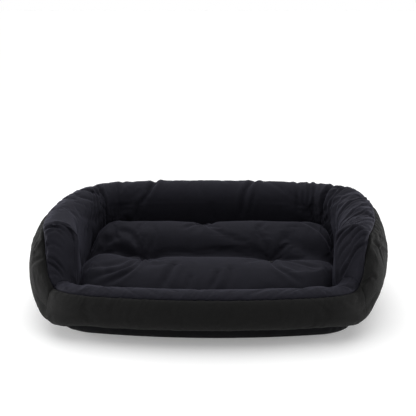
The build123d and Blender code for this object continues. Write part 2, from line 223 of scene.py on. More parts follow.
def plan_arcs(sizes):
    """Eight tangent arcs of the widest line: four corner arcs joined by bowed arcs that touch them.

    A bowed arc's radius is the corner radius plus (bow squared + half span squared) / (2 bow).
    Each row is the first direction, the centre's x and y, and the radius.
    """
    corners, bows = [], [sizes.side_bow, sizes.front_bow] * 2
    for side, end in ((1, -1), (1, 1), (-1, 1), (-1, -1)):
        across = end * (sizes.depth / 2 - sizes.corner - sizes.front_bow)
        along = side * (sizes.length / 2 - sizes.corner - sizes.side_bow)
        corners.append(np.array([along + sizes.lean * across, across]))
    bowed = []
    for index, bow in enumerate(bows):
        start, end = corners[index], corners[(index + 1) % 4]
        half = np.linalg.norm(end - start) / 2
        radius = sizes.corner + (bow**2 + half**2) / (2 * bow)
        way = (end - start) / (2 * half)
        outward = np.array([way[1], -way[0]])
        bowed.append(((start + end) / 2 - outward * (radius - sizes.corner - bow), radius))
    rows = []
    for index, corner in enumerate(corners):
        before, after = bowed[index - 1][0], bowed[index][0]
        for away, centre, radius in (
            (corner - before, corner, sizes.corner),
            (corner - after, after, bowed[index][1]),
        ):
            rows.append([math.degrees(math.atan2(away[1], away[0])), centre[0], centre[1], radius])
    arcs = np.array(rows)
    arcs[:, 0] = arcs[0, 0] + np.mod(arcs[:, 0] - arcs[0, 0], WHOLE_TURN)
    return arcs


def plan_line(arcs, turns):
    """Centre and radius of the plan arc that faces each direction."""
    wrapped = arcs[0, 0] + np.mod(turns - arcs[0, 0], WHOLE_TURN)
    index = np.clip(np.searchsorted(arcs[:, 0], wrapped, side="right") - 1, 0, len(arcs) - 1)
    return arcs[index, 1:3], arcs[index, 3]


def section_sizes(turns):
    """Section sizes at each direction: low front to high back by a smooth step of the direction."""
    below = -np.degrees(np.arcsin(np.sin(np.radians(turns))))
    right = np.cos(np.radians(turns)) > 0
    start = np.where(right, FALL_START[1], FALL_START[0])
    end = np.where(right, FALL_END[1], FALL_END[0])
    share = np.clip((end - below) / (end - start), 0, 1)
    rise = share * share * (3 - 2 * share)
    return {name: low + (high - low) * rise for name, (low, high) in SECTION_PAIRS.items()}


def turn_gap(turns, direction):
    """Angle between each direction and one direction, from 0 to 180 degrees."""
    return np.abs(np.mod(turns - direction + 180, WHOLE_TURN) - 180)


def corner_sag(turns, sag):
    """How far the cover hangs at each direction: a bell curve at each front corner."""
    return sag * sum(
        share * np.exp(-((turn_gap(turns, turn) / half) ** 2)) for turn, half, share in HANGING_CORNERS
    )


def stuffed_shape(turns, inset, height, folds):
    """Let the cover hang at the front corners and stand fuller at the rear right shoulder.

    Below the widest line a point drops by the sag times its share of the way to the base seam,
    and the cover bulges by a half sine. Above it the shoulder rises by the fullness times a bell
    curve of the direction, its share of the way up and its share of the way out.
    """
    s = section_sizes(turns)
    widest, seam = s["widest"][:, None], s["seam_height"][:, None]
    drop = corner_sag(turns, folds.sag)[:, None]
    low = np.clip((widest - height) / (widest - seam), 0, 1)
    up = np.clip((height - widest) / (s["height"][:, None] - widest), 0, 1)
    out = np.clip(1 + inset / s["width"][:, None], 0, 1)
    gap = turn_gap(turns, SHOULDER_TURN)
    bell = folds.fullness * np.exp(-((gap / SHOULDER_SPREAD) ** 2))[:, None]
    outside = inset > -s["seam_inset"][:, None] - 1e-6
    low = np.where(outside & (out > 0.2), low, 0)
    new_height = height - drop * low**1.25 + 0.8 * bell * up * out
    new_inset = inset + 0.5 * drop * np.sin(np.pi * low) + 0.7 * bell * up * out
    return new_inset, new_height


def bolster_chain(turns, sizes):
    """Arcs of the section at each direction: two for the outer panel, four lengths for the inner.

    Each is (centre inset, centre height, radius, first angle, last angle); a straight length has
    radius 0 and holds its two ends instead.
    """
    s = section_sizes(turns)
    drop = s["widest"] - s["seam_height"]
    lower_radius = (s["seam_inset"] ** 2 + drop**2) / (2 * s["seam_inset"])
    lower_start = -np.degrees(np.arctan2(drop, lower_radius - s["seam_inset"]))
    sine, cosine = np.sin(np.radians(s["seam_turn"])), np.cos(np.radians(s["seam_turn"]))
    scale = (1 - cosine) * (1 - sine) - cosine * sine
    tall = s["height"] - s["widest"]
    upper_radius = (s["crest"] * (1 - sine) - tall * cosine) / scale
    shoulder_radius = ((1 - cosine) * tall - s["crest"] * sine) / scale
    inner_radius = s["width"] - s["crest"]
    none = np.zeros_like(turns)
    heel_top = none + BASE_THICKNESS + sizes.heel
    outer = [
        (-lower_radius, s["widest"], lower_radius, lower_start, none),
        (-upper_radius, s["widest"], upper_radius, none, s["seam_turn"]),
    ]
    inner = [
        (-s["crest"], s["height"] - shoulder_radius, shoulder_radius, s["seam_turn"], none + 90),
        (-s["crest"], s["height"] - inner_radius, inner_radius, none + 90, none + 180),
        (-s["width"], s["height"] - inner_radius, none, -s["width"], heel_top),
        (-s["width"] + sizes.heel, heel_top, none + sizes.heel, none + 180, none + 262),
    ]
    return outer, inner


def along_chain(chain, shares):
    """Inset and height at equal shares of a chain's length, one row for each direction."""
    lengths = []
    for across, up, radius, first, last in chain:
        straight = np.hypot(first - across, last - up)
        lengths.append(np.where(radius > 0, radius * np.radians(last - first), straight))
    ends = np.cumsum(lengths, axis=0)
    along = ends[-1][:, None] * shares[None, :]
    inset, height = np.zeros_like(along), np.zeros_like(along)
    for index, (across, up, radius, first, last) in enumerate(chain):
        start = ends[index] - lengths[index]
        part = np.clip((along - start[:, None]) / lengths[index][:, None], 0, 1)
        here = along >= start[:, None] - 1e-9
        angle = np.radians(first[:, None] + (last - first)[:, None] * part)
        bent = (radius > 0)[:, None]
        arc_inset = across[:, None] + radius[:, None] * np.cos(angle)
        arc_height = up[:, None] + radius[:, None] * np.sin(angle)
        line_inset = across[:, None] + (first - across)[:, None] * part
        line_height = up[:, None] + (last - up)[:, None] * part
        inset = np.where(here, np.where(bent, arc_inset, line_inset), inset)
        height = np.where(here, np.where(bent, arc_height, line_height), height)
    return inset, height


def place_on_plan(arcs, turns, inset, height):
    """Points in space of insets and heights measured from the widest line."""
    centre, radius = plan_line(arcs, turns)
    way = np.stack([np.cos(np.radians(turns)), np.sin(np.radians(turns))], axis=1)
    reach = radius[:, None] + inset
    flat = centre[:, None, :] + way[:, None, :] * reach[..., None]
    return np.concatenate([flat, height[..., None]], axis=2)


def even_turns(arcs, first, last, spacing):
    """Directions from first to last whose points on the widest line are evenly spaced."""
    fine = np.linspace(first, last, 600)
    centre, radius = plan_line(arcs, fine)
    way = np.stack([np.cos(np.radians(fine)), np.sin(np.radians(fine))], axis=1)
    line = centre + way * radius[:, None]
    length = np.concatenate([[0], np.cumsum(np.linalg.norm(np.diff(line, axis=0), axis=1))])
    count = max(4, int(round(length[-1] / spacing)))
    return np.interp(np.linspace(0, length[-1], count + 1), length, fine)


# ---------------------------------------------------------------- grids, meshes and cloth


def grid_faces(rows, columns, wrap=False):
    """Quads of a grid numbered row by row; wrap joins the last row to the first."""
    last = rows if wrap else rows - 1
    i, j = np.meshgrid(np.arange(last), np.arange(columns - 1), indexing="ij")
    following = (i + 1) % rows
    here, there = i * columns + j, following * columns + j
    return np.stack([here, there, there + 1, here + 1], axis=-1).reshape(-1, 4)


def grid_normals(grid):
    """Unit normals of a grid of points, from the cross product of its two directions."""
    normal = np.cross(np.gradient(grid, axis=0), np.gradient(grid, axis=1))
    return normal / np.maximum(np.linalg.norm(normal, axis=2, keepdims=True), 1e-12)


def catmull(grid, places):
    """Catmull-Rom interpolation of a grid along its first axis at fractional places."""
    padded = np.concatenate([2 * grid[:1] - grid[1:2], grid, 2 * grid[-1:] - grid[-2:-1]])
    index = np.clip(np.floor(places).astype(int), 0, len(grid) - 2)
    t = (places - index)[:, None, None]
    a, b, c, d = (padded[index + step] for step in range(4))
    square, cube = 2 * a - 5 * b + 4 * c - d, 3 * b - a - 3 * c + d
    return 0.5 * (2 * b + (c - a) * t + square * t**2 + cube * t**3)


def gathered_places(count, spacing, near, parts):
    """Fractional rows of a grid: each step in equal parts, and closer beside the two ends."""
    lead = np.array(near) / spacing
    first, last = lead[-1] + 0.5 / parts, count - 1 - lead[-1] - 0.5 / parts
    kept = np.linspace(first, last, int((count - 1) * parts) - 2)
    return np.concatenate([lead, kept, (count - 1 - lead)[::-1]])


def run_lengths(grid, axis):
    """Length along a grid from its first line, measured along one axis."""
    steps = np.linalg.norm(np.diff(grid, axis=axis), axis=2)
    zero = np.zeros_like(np.take(steps, [0], axis=axis))
    return np.concatenate([zero, np.cumsum(steps, axis=axis)], axis=axis)


def new_piece(name, points, *faces, uv=None):
    """Mesh object from points and arrays of faces, with a UV map in metres where one is given.

    Each array of faces holds faces with the same number of sides.
    """
    mesh = bpy.data.meshes.new(name)
    mesh.vertices.add(len(points))
    mesh.vertices.foreach_set("co", np.asarray(points, np.float32).ravel())
    sides = np.concatenate([np.full(len(part), part.shape[1], np.int32) for part in faces])
    loops = np.concatenate([part.ravel() for part in faces])
    mesh.loops.add(len(loops))
    mesh.loops.foreach_set("vertex_index", np.asarray(loops, np.int32))
    mesh.polygons.add(len(sides))
    starts = np.concatenate([[0], np.cumsum(sides)[:-1]]).astype(np.int32)
    mesh.polygons.foreach_set("loop_start", starts)
    mesh.update(calc_edges=True)
    mesh.validate()
    mesh.polygons.foreach_set("use_smooth", np.ones(len(mesh.polygons), bool))
    if uv is not None:
        layer = mesh.uv_layers.new(name="Cloth")
        layer.data.foreach_set("uv", np.asarray(uv, np.float32)[loops].ravel())
    piece = bpy.data.objects.new(name, mesh)
    bpy.context.scene.collection.objects.link(piece)
    return piece


def mesh_points(mesh):
    """All points of a mesh as an array."""
    points = np.zeros(len(mesh.vertices) * 3, np.float32)
    mesh.vertices.foreach_get("co", points)
    return points.reshape(-1, 3).astype(float)


def set_points(mesh, points):
    """Write all points of a mesh from an array."""
    mesh.vertices.foreach_set("co", points.astype(np.float32).ravel())
    mesh.update()


def worked_in(piece):
    """The same piece as a plain mesh, with its modifiers worked in and its faces smooth."""
    graph = bpy.context.evaluated_depsgraph_get()
    mesh, name = bpy.data.meshes.new_from_object(piece.evaluated_get(graph)), piece.name
    remove_piece(piece)
    mesh.polygons.foreach_set("use_smooth", np.ones(len(mesh.polygons), bool))
    piece = bpy.data.objects.new(name, mesh)
    bpy.context.scene.collection.objects.link(piece)
    return piece


def swell_cloth(piece, sewn, pressure, slack, frames, reach, bending=0.5):
    """Swell a mesh as slack cloth under pressure, then keep each point within its own reach.

    sewn holds a weight for each point, 1 where a seam or tuft holds it. The slack is a negative
    shrink, so the cloth is larger than its form and gathers between its seams.
    """
    scene = bpy.context.scene
    start = mesh_points(piece.data)
    group = piece.vertex_groups.new(name="Sewn")
    for weight in np.unique(np.round(sewn, 1)):
        members = np.flatnonzero(np.round(sewn, 1) == weight)
        group.add(members.tolist(), float(weight), "REPLACE")
    cloth = piece.modifiers.new("Cloth", "CLOTH")
    settings = cloth.settings
    settings.quality = 5
    settings.mass = 0.2
    settings.tension_stiffness = settings.compression_stiffness = 15
    settings.shear_stiffness = 5
    settings.bending_stiffness = bending
    settings.use_pressure = True
    settings.uniform_pressure_force = pressure
    settings.shrink_min = -slack
    settings.vertex_group_mass = group.name
    settings.effector_weights.gravity = 0
    cloth.collision_settings.use_collision = False
    cloth.point_cache.frame_start, cloth.point_cache.frame_end = 1, frames
    for step in range(1, frames + 1):
        scene.frame_set(step)
    moved = mesh_points(piece.evaluated_get(bpy.context.evaluated_depsgraph_get()).data)
    piece.modifiers.remove(cloth)
    piece.vertex_groups.remove(group)
    scene.frame_set(1)
    shift = moved - start
    size = np.maximum(np.linalg.norm(shift, axis=1), 1e-9)
    limited = reach * np.tanh(size / reach)
    result = start + shift * (limited / size)[:, None]
    set_points(piece.data, result)
    return result


def even_out(shift, columns):
    """Gaussian mean of a ring's values along the ring, with a width in columns."""
    pace = np.fft.fftfreq(len(shift))
    kernel = np.exp(-2 * (np.pi * pace * columns) ** 2)
    return np.fft.ifft(np.fft.fft(shift, axis=0) * kernel[:, None, None], axis=0).real


def mean_with_neighbours(mesh, values, rounds):
    """Replace each point's values by the mean with its neighbours', a number of times."""
    ends = np.zeros(len(mesh.edges) * 2, np.int32)
    mesh.edges.foreach_get("vertices", ends)
    first, second = ends.reshape(-1, 2).T
    count = len(values)
    share = 1 / (1 + np.bincount(ends, minlength=count))[:, None]
    for _ in range(rounds):
        sums = [
            np.bincount(first, column[second], count) + np.bincount(second, column[first], count)
            for column in values.T
        ]
        values = (values + np.stack(sums, axis=1)) * share
    return values


def valley(away):
    """Section of a crease: a Gaussian valley with a soft rise on both sides."""
    return 0.42 * np.exp(-(((away - 2.1) / 1.1) ** 2)) - np.exp(-(away**2))


def remove_piece(piece):
    """Delete a working object and its mesh."""
    mesh = piece.data
    bpy.data.objects.remove(piece)
    bpy.data.meshes.remove(mesh)


def finish_fabric(piece, body, material, nodes, thickness=0):
    """Give a panel its wall and finish, and let it ride on its body."""
    if thickness:
        wall = piece.modifiers.new("Wall", "SOLIDIFY")
        wall.thickness, wall.offset = thickness, -1
    piece.data.materials.append(material)
    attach(piece, body)
    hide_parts(*nodes)


# ---------------------------------------------------------------- materials


class Shade:
    """A value in a material; arithmetic on it adds Math nodes."""

    def __init__(self, tree, socket):
        self.tree, self.socket = tree, socket

    def maths(self, operation, *values):
        return self.tree.value("ShaderNodeMath", {"operation": operation}, dict(enumerate(values)))

    def __add__(self, other):
        return self.maths("ADD", self, other)

    def __sub__(self, other):
        return self.maths("SUBTRACT", self, other)

    def __rsub__(self, other):
        return self.maths("SUBTRACT", other, self)

    def __mul__(self, other):
        return self.maths("MULTIPLY", self, other)

    __radd__, __rmul__ = __add__, __mul__

    def __abs__(self):
        return self.maths("ABSOLUTE", self)

    def sine(self):
        return self.maths("SINE", self)

    def at_most(self, limit):
        return self.maths("MINIMUM", self, limit)


class Tree:
    """Node tree of a material or of the surroundings; one method adds every node."""

    def __init__(self, owner, bare=False):
        owner.use_nodes = True
        self.tree = owner.node_tree
        if bare:
            self.tree.nodes.clear()

    def node(self, kind, settings=None, sockets=None):
        """Add a node: its settings first, then the values or links of its sockets."""
        made = self.tree.nodes.new(kind)
        for name, value in (settings or {}).items():
            setattr(made, name, value)
        for name, value in (sockets or {}).items():
            if isinstance(value, Shade):
                self.tree.links.new(value.socket, made.inputs[name])
            else:
                made.inputs[name].default_value = value
        return made

    def value(self, kind, settings=None, sockets=None, output=0):
        """Add a node and return one of its outputs as a value."""
        return Shade(self, self.node(kind, settings, sockets).outputs[output])

    def looked_at(self):
        """1 for rays from the camera and for mirrored or transmitted ones, else 0."""
        path = self.node("ShaderNodeLightPath")
        kinds = ("Camera", "Glossy", "Transmission")
        camera, mirrored, through = (Shade(self, path.outputs[f"Is {kind} Ray"]) for kind in kinds)
        return (camera + mirrored + through).at_most(1.0)


class Finish(Tree):
    """Node tree of one material, with a Principled shader."""

    def __init__(self, name, roughness, **constants):
        self.material = bpy.data.materials.new(name)
        super().__init__(self.material)
        self.shader = self.tree.nodes["Principled BSDF"]
        self.shader.inputs["Roughness"].default_value = roughness
        for socket, value in constants.items():
            self.shader.inputs[socket.replace("_", " ")].default_value = value

    def noise(self, vector, scale, detail=3.0, roughness=0.55):
        """Noise from 0 to 1 with a scale per metre."""
        sockets = {"Vector": vector, "Scale": scale, "Detail": detail, "Roughness": roughness}
        return self.value("ShaderNodeTexNoise", None, sockets)

    def place(self):
        """Object coordinates."""
        return self.value("ShaderNodeTexCoord", output="Object")

    def axes(self, vector):
        """The three coordinates of a vector."""
        split = self.node("ShaderNodeSeparateXYZ", None, {"Vector": vector})
        return [Shade(self, split.outputs[name]) for name in "XYZ"]

    def cloth_axes(self):
        """The two coordinates of the cloth's own map, in metres."""
        return self.axes(self.value("ShaderNodeUVMap", {"uv_map": "Cloth"}))[:2]

    def tint(self, colour, light, dark, amount):
        """Colour between a darker and a lighter tone of itself."""
        low = tuple(c * dark for c in colour) + (1.0,)
        high = tuple(c * light for c in colour) + (1.0,)
        return self.value(
            "ShaderNodeMix",
            {"data_type": "RGBA"},
            {0: amount, 6: low, 7: high},
            output=2,
        )

    def wear(self, colour=None, roughness=None, height=None, distance=0.0004, strength=0.6):
        """Link the finish to the shader."""
        if colour is not None:
            self.tree.links.new(colour.socket, self.shader.inputs["Base Color"])
        if roughness is not None:
            self.tree.links.new(roughness.socket, self.shader.inputs["Roughness"])
        if height is not None:
            sockets = {"Height": height, "Distance": distance, "Strength": strength}
            bump = self.value("ShaderNodeBump", None, sockets)
            self.tree.links.new(bump.socket, self.shader.inputs["Normal"])
        return self.material


# Lengths after which each pattern repeats, in metres, and how little the fabrics shine
CANVAS_REPEAT, BASE_REPEAT, PLY_REPEAT = 0.0018, 0.0026, 0.0011
HERRINGBONE, TAPE_RIB = 0.004, 0.0012
FABRIC_SHINE = 0.08


def woven_outer(colour):
    """Charcoal canvas: a plain weave of 0.9 mm threads with lighter flecks.

    The weave is the product of two sines, one along the cloth and one across it.
    """
    cloth = Finish(
        "Outer_canvas", 0.9, Sheen_Weight=0.03, Sheen_Roughness=0.5, Specular_IOR_Level=FABRIC_SHINE
    )
    u, v = cloth.cloth_axes()
    place = cloth.place()
    pitch = math.tau / CANVAS_REPEAT
    over = (u * pitch).sine() * (v * pitch).sine()
    fibre = cloth.noise(place, 1400, 2.0)
    fleck = cloth.noise(place, 260, 4.0, 0.7)
    shade = over * 0.22 + fibre * 0.5 + fleck * 0.45 - 0.02
    tone = cloth.tint(colour, 1.75, 0.45, shade)
    return cloth.wear(tone, 0.78 + 0.14 * fibre, over * 0.6 + fibre * 0.5)


def brushed_inner(colour):
    """Bluish black brushed cloth: a short nap that lies in soft patches."""
    cloth = Finish(
        "Inner_brushed",
        0.88,
        Sheen_Weight=0.07,
        Sheen_Roughness=0.4,
        Sheen_Tint=(0.75, 0.75, 1.0, 1.0),
        Specular_IOR_Level=FABRIC_SHINE,
    )
    place = cloth.place()
    nap = cloth.noise(place, 900, 3.0, 0.6)
    patch = cloth.noise(place, 34, 4.0, 0.62)
    lie = cloth.noise(place, 150, 3.0, 0.6)
    shade = nap * 0.45 + patch * 0.35 + lie * 0.35 - 0.08
    return cloth.wear(cloth.tint(colour, 1.6, 0.5, shade), 0.72 + 0.16 * nap, nap * 0.7 + lie * 0.4)


def coated_base(colour):
    """Near black coated weave under the bed."""
    cloth = Finish("Base_coated", 0.75, Specular_IOR_Level=0.1)
    place = cloth.place()
    x, y, _ = cloth.axes(place)
    pitch = math.tau / BASE_REPEAT
    grid = (x * pitch).sine() * (y * pitch).sine()
    grain = cloth.noise(place, 700, 3.0)
    shade = cloth.tint(colour, 1.7, 0.5, grain * 0.8 + grid * 0.15)
    return cloth.wear(shade, 0.6 + 0.2 * grain, grid * 0.4 + grain * 0.5)


def twisted_thread(colour):
    """Thread with slanting plies."""
    thread = Finish("Sewing_thread", 0.62, Sheen_Weight=0.2)
    place = thread.place()
    x, _, z = thread.axes(place)
    ply = ((x + z * 0.8) * (math.tau / PLY_REPEAT)).sine()
    fibre = thread.noise(place, 2500, 2.0)
    shade = thread.tint(colour, 1.9, 0.5, ply * 0.3 + fibre * 0.6)
    return thread.wear(shade, 0.55 + 0.2 * fibre, ply * 0.8 + fibre * 0.2, 0.0002)


def zip_tape_cloth(colour):
    """Herringbone tape of the zip."""
    tape = Finish("Zip_tape", 0.78, Sheen_Weight=0.15)
    place = tape.place()
    x, _, z = tape.axes(place)
    zigzag = abs((z * (math.tau / HERRINGBONE)).sine()) * TAPE_RIB
    rib = ((x + zigzag) * (math.tau / TAPE_RIB)).sine()
    fibre = tape.noise(place, 2200, 2.0)
    shade = tape.tint(colour, 1.8, 0.5, rib * 0.25 + fibre * 0.6)
    return tape.wear(shade, 0.7 + 0.15 * fibre, rib * 0.7 + fibre * 0.3, 0.0002)


def moulded_nylon(colour):
    """Nylon of the teeth and stops, faintly mottled."""
    nylon = Finish("Zip_nylon", 0.42, Specular_IOR_Level=0.45)
    mottle = nylon.noise(nylon.place(), 1800, 3.0)
    tone = nylon.tint(colour, 1.5, 0.7, mottle)
    return nylon.wear(tone, 0.36 + 0.16 * mottle, mottle, 0.0001, 0.3)


def black_enamel(colour):
    """Enamelled metal of the slider and pull, rubbed a little brighter in spots."""
    metal = Finish("Zip_enamel", 0.34, Metallic=0.6, Coat_Weight=0.4)
    rub = metal.noise(metal.place(), 900, 5.0, 0.7)
    return metal.wear(metal.tint(colour, 2.6, 0.7, rub * rub), 0.26 + 0.24 * rub, rub, 0.00008, 0.3)


# ---------------------------------------------------------------- folds

MM = 0.001
# Creases across the bolsters: depth and half width in millimetres, then (direction in degrees,
# share of the panel's width from its seam) at points along each crease
INNER_CREASES = (
    # gathers of the rear left corner
    (5.2, 4.2, (127.5, 0.10), (140.4, 0.25), (145.8, 0.33), (152.2, 0.47), (154.0, 0.60)),
    (4.4, 3.8, (141.7, 0.14), (151.2, 0.28), (157.7, 0.37), (159.4, 0.50)),
    (3.6, 3.6, (150.2, 0.12), (155.5, 0.25), (158.1, 0.32), (161.6, 0.46)),
    (3.0, 3.4, (154.0, 0.10), (156.8, 0.23), (160.6, 0.31), (164.0, 0.42)),
    (2.2, 3.6, (120.0, 0.12), (132.0, 0.18), (138.0, 0.34), (144.0, 0.50)),
    # back roll
    (5.0, 6.5, (95.2, 0.03), (95.5, 0.18), (96.0, 0.28), (96.9, 0.38), (97.4, 0.55)),
    (2.4, 5.0, (98.2, 0.04), (98.3, 0.16), (98.5, 0.25), (102.8, 0.36)),
    (4.6, 6.5, (86.1, 0.03), (86.7, 0.17), (87.1, 0.25), (87.3, 0.32), (87.4, 0.50)),
    (2.2, 5.0, (86.3, 0.26), (86.7, 0.48)),
    (2.4, 5.0, (82.5, 0.04), (82.4, 0.18), (82.3, 0.45)),
    (2.0, 4.5, (81.9, 0.06), (81.8, 0.40)),
    (2.4, 4.5, (81.4, 0.04), (81.2, 0.40)),
    (2.6, 4.5, (72.0, 0.04), (70.8, 0.17), (67.5, 0.45)),
    (1.8, 7.0, (91.6, 0.06), (91.3, 0.30)),
    # gathers of the rear right corner
    (5.6, 4.6, (48.8, 0.02), (48.2, 0.11), (46.1, 0.25), (42.8, 0.34), (35.3, 0.52)),
    (3.4, 4.0, (34.6, 0.02), (33.2, 0.10), (27.8, 0.22), (24.5, 0.40)),
    (2.6, 3.6, (24.0, 0.02), (22.0, 0.12), (17.0, 0.24), (14.0, 0.38)),
    # pleats of the right arm
    (5.2, 4.0, (6.0, 0.00), (4.8, 0.05), (2.7, 0.17), (0.6, 0.28), (-1.0, 0.44)),
    (4.4, 3.5, (0.6, 0.00), (-0.3, 0.04), (-4.5, 0.15), (-9.6, 0.26), (-12.0, 0.40)),
    (4.2, 3.3, (-4.1, 0.00), (-10.4, 0.14), (-16.3, 0.24), (-18.6, 0.40)),
    (4.2, 3.3, (-8.7, 0.00), (-15.0, 0.12), (-20.9, 0.21), (-25.3, 0.38)),
    (4.2, 3.3, (-13.8, 0.00), (-18.4, 0.10), (-25.2, 0.18), (-30.6, 0.34)),
    (4.2, 3.3, (-17.6, 0.00), (-21.3, 0.08), (-29.5, 0.18), (-36.0, 0.34)),
    (4.2, 3.3, (-21.8, 0.00), (-25.2, 0.07), (-34.9, 0.17), (-40.3, 0.34)),
    (2.6, 3.1, (-25.2, 0.00), (-30.6, 0.07), (-39.2, 0.17), (-45.7, 0.34)),
    (5.6, 4.6, (-31.0, 0.00), (-38.2, 0.12), (-44.6, 0.20), (-49.5, 0.36)),
    (3.0, 4.0, (-55.5, 0.02), (-57.6, 0.12), (-61.9, 0.24)),
    # left arm
    (4.2, 4.0, (198.6, 0.02), (198.8, 0.11), (200.9, 0.16), (205.2, 0.22)),
    (3.2, 3.6, (202.0, 0.03), (202.2, 0.12), (204.1, 0.16), (207.4, 0.22)),
    (3.8, 4.6, (194.6, 0.10), (196.6, 0.22), (200.9, 0.27), (208.5, 0.31), (217.2, 0.36)),
    (4.8, 4.2, (214.9, 0.00), (219.2, 0.08), (223.5, 0.15), (227.9, 0.22)),
    (2.6, 3.6, (207.5, 0.00), (209.5, 0.10), (213.5, 0.20)),
    (2.4, 3.6, (221.0, 0.00), (224.5, 0.10), (227.5, 0.18)),
    (3.4, 3.6, (212.8, 0.01), (217.1, 0.10), (221.4, 0.18), (226.0, 0.26)),
)
OUTER_CREASES = (
    (3.0, 4.2, (192.6, 1.00), (191.0, 0.86), (187.0, 0.68), (184.0, 0.50)),
    (2.4, 4.0, (202.0, 1.00), (199.0, 0.84), (194.0, 0.66)),
    (2.6, 4.2, (213.0, 1.00), (208.3, 0.83), (203.0, 0.66)),
    (2.6, 4.2, (-50.0, 1.00), (-45.7, 0.90), (-40.3, 0.80), (-36.0, 0.66)),
    (2.6, 4.0, (-26.2, 1.00), (-23.0, 0.83), (-17.1, 0.70), (-14.0, 0.55)),
    (2.4, 4.0, (-19.8, 1.00), (-18.0, 0.86), (-11.7, 0.70), (-9.0, 0.56)),
    (2.2, 4.0, (8.0, 1.00), (12.0, 0.80), (15.0, 0.62)),
    (2.2, 4.0, (26.0, 1.00), (29.0, 0.82), (31.0, 0.60)),
    (2.2, 4.4, (150.0, 1.00), (153.0, 0.80), (154.0, 0.58)),
    (2.0, 4.4, (172.0, 1.00), (170.0, 0.80), (167.0, 0.62)),
)
# Creases on the cushion's top: depth, half width, then points of the plan, all in millimetres
CUSHION_CREASES = (
    # from the left tuft
    (6.5, 7.0, (-150, -8), (-167, -2), (-195, 8), (-218, 17), (-242, 22), (-266, 26), (-281, 10)),
    (5.5, 5.5, (-152, -14), (-166, -60), (-178, -96), (-202, -112), (-232, -122), (-266, -128)),
    (4.5, 5.0, (-148, -16), (-156, -70), (-168, -112), (-196, -132), (-240, -146)),
    (2.4, 7.0, (-156, -12), (-186, -62), (-214, -84), (-252, -92), (-284, -78)),
    (2.4, 5.0, (-144, -16), (-136, -56), (-130, -92)),
    (2.4, 5.0, (-144, 0), (-130, 24), (-134, 58)),
    (2.6, 5.5, (-158, 2), (-190, 40), (-232, 62)),
    # front row
    (4.4, 7.5, (-76, -92), (-83, -112), (-90, -131), (-97, -147), (-104, -160)),
    (2.8, 5.5, (18, -118), (14, -135), (7, -148), (2, -160)),
    (2.4, 6.5, (46, -108), (45, -126), (41, -147), (38, -160)),
    (2.2, 6.0, (-40, -130), (-44, -148), (-46, -162)),
    # from the right tuft
    (4.4, 6.0, (141, -14), (140, -60), (144, -92), (158, -112), (178, -129), (200, -144)),
    (3.0, 5.5, (150, -12), (190, -62), (222, -84), (258, -88)),
    (2.2, 6.0, (138, 0), (118, 22), (114, 43), (124, 60), (136, 76)),
    (1.4, 7.0, (132, -2), (104, 14), (84, 34)),
    (1.4, 7.0, (150, 0), (178, 30), (204, 46)),
    # rear row
    (3.0, 5.0, (-24, 84), (-36, 72), (-48, 60), (-64, 38)),
    (2.2, 6.0, (-20, 84), (-4, 66), (6, 44)),
    (2.6, 7.0, (-284, 34), (-262, 44), (-226, 40)),
    (2.8, 6.0, (284, 28), (262, 48), (232, 70), (206, 84)),
)


def crease_depth(turns, shares, along, creases):
    """Depth of the creases that run across a roll.

    A crease's direction at each share of the width is read off its points and turned into a length
    along the first row, which goes on evenly past the panel's ends. Its depth follows the valley
    curve of the distance along the roll, and fades at its two ends.
    """
    run = along[:, 0]
    scale = np.gradient(along, axis=0) / np.gradient(run)[:, None]
    paces = (run[1] - run[0]) / (turns[1] - turns[0]), (run[-1] - run[-2]) / (turns[-1] - turns[-2])
    far_turns = np.concatenate([[turns[0] - 90], turns, [turns[-1] + 90]])
    far_run = np.concatenate([[run[0] - 90 * paces[0]], run, [run[-1] + 90 * paces[1]]])
    field = np.zeros_like(along)
    for depth, half, *points in creases:
        heads, places = np.array(points).T
        order = np.argsort(places)
        middle = np.interp(np.interp(shares, places[order], heads[order]), far_turns, far_run)
        away = np.abs(run[:, None] - middle[None, :]) * scale / (half * MM)
        start = np.clip((shares - places.min()) / 0.06, 0, 1)
        end = np.clip((places.max() - shares) / 0.12, 0, 1)
        fade = np.sin(start * np.pi / 2) * np.sin(end * np.pi / 2)
        field += depth * MM * fade[None, :] * valley(away)
    return field


def plan_creases(points, creases):
    """Depth of the creases drawn on the cushion's top.

    Each crease is a Catmull-Rom line in plan. Its depth follows the valley curve of the plan
    distance to its nearest length, and fades towards its end.
    """
    flat = points[:, :2]
    field = np.zeros(len(points))
    for depth, half, *marks in creases:
        marks = np.array(marks, float)
        line = catmull(marks[:, None, :], np.linspace(0, len(marks) - 1, 4 * len(marks)))[:, 0] * MM
        starts, ways = line[:-1], np.diff(line, axis=0)
        lengths = np.linalg.norm(ways, axis=1)
        offset = flat[:, None, :] - starts[None]
        part = np.clip((offset * ways).sum(axis=2) / lengths**2, 0, 1)
        gaps = np.linalg.norm(offset - part[..., None] * ways, axis=2)
        nearest = gaps.argmin(axis=1)
        row = np.arange(len(points))
        run = (np.cumsum(lengths) - lengths)[nearest] + part[row, nearest] * lengths[nearest]
        share = run / lengths.sum()
        fade = np.clip(share / 0.06 + 0.4, 0, 1) * np.clip((1 - share) / 0.3, 0, 1)
        field += depth * MM * fade * valley(gaps[row, nearest] / (half * MM))
    return field


def ripple(along, wave, seed):
    """Uneven ripple along a seam: a sine whose phase wanders by two slower sines."""
    turn = along * 2 * np.pi / wave
    wander = 2.1 * np.sin(turn / 7.3 + seed) + 1.3 * np.sin(turn / 3.1 + 2.7 * seed)
    swell = 0.65 + 0.35 * np.sin(turn / 5.2 + 1.9 * seed)
    return swell * np.sin(turn + wander)


# Distances from a seam of the closest rows, and the parts that every other step is cut into
NEAR_SEAM = (0.0, 0.0011, 0.0024, 0.0042, 0.0068)
COLUMN_PARTS, ROW_PARTS = 3, 2
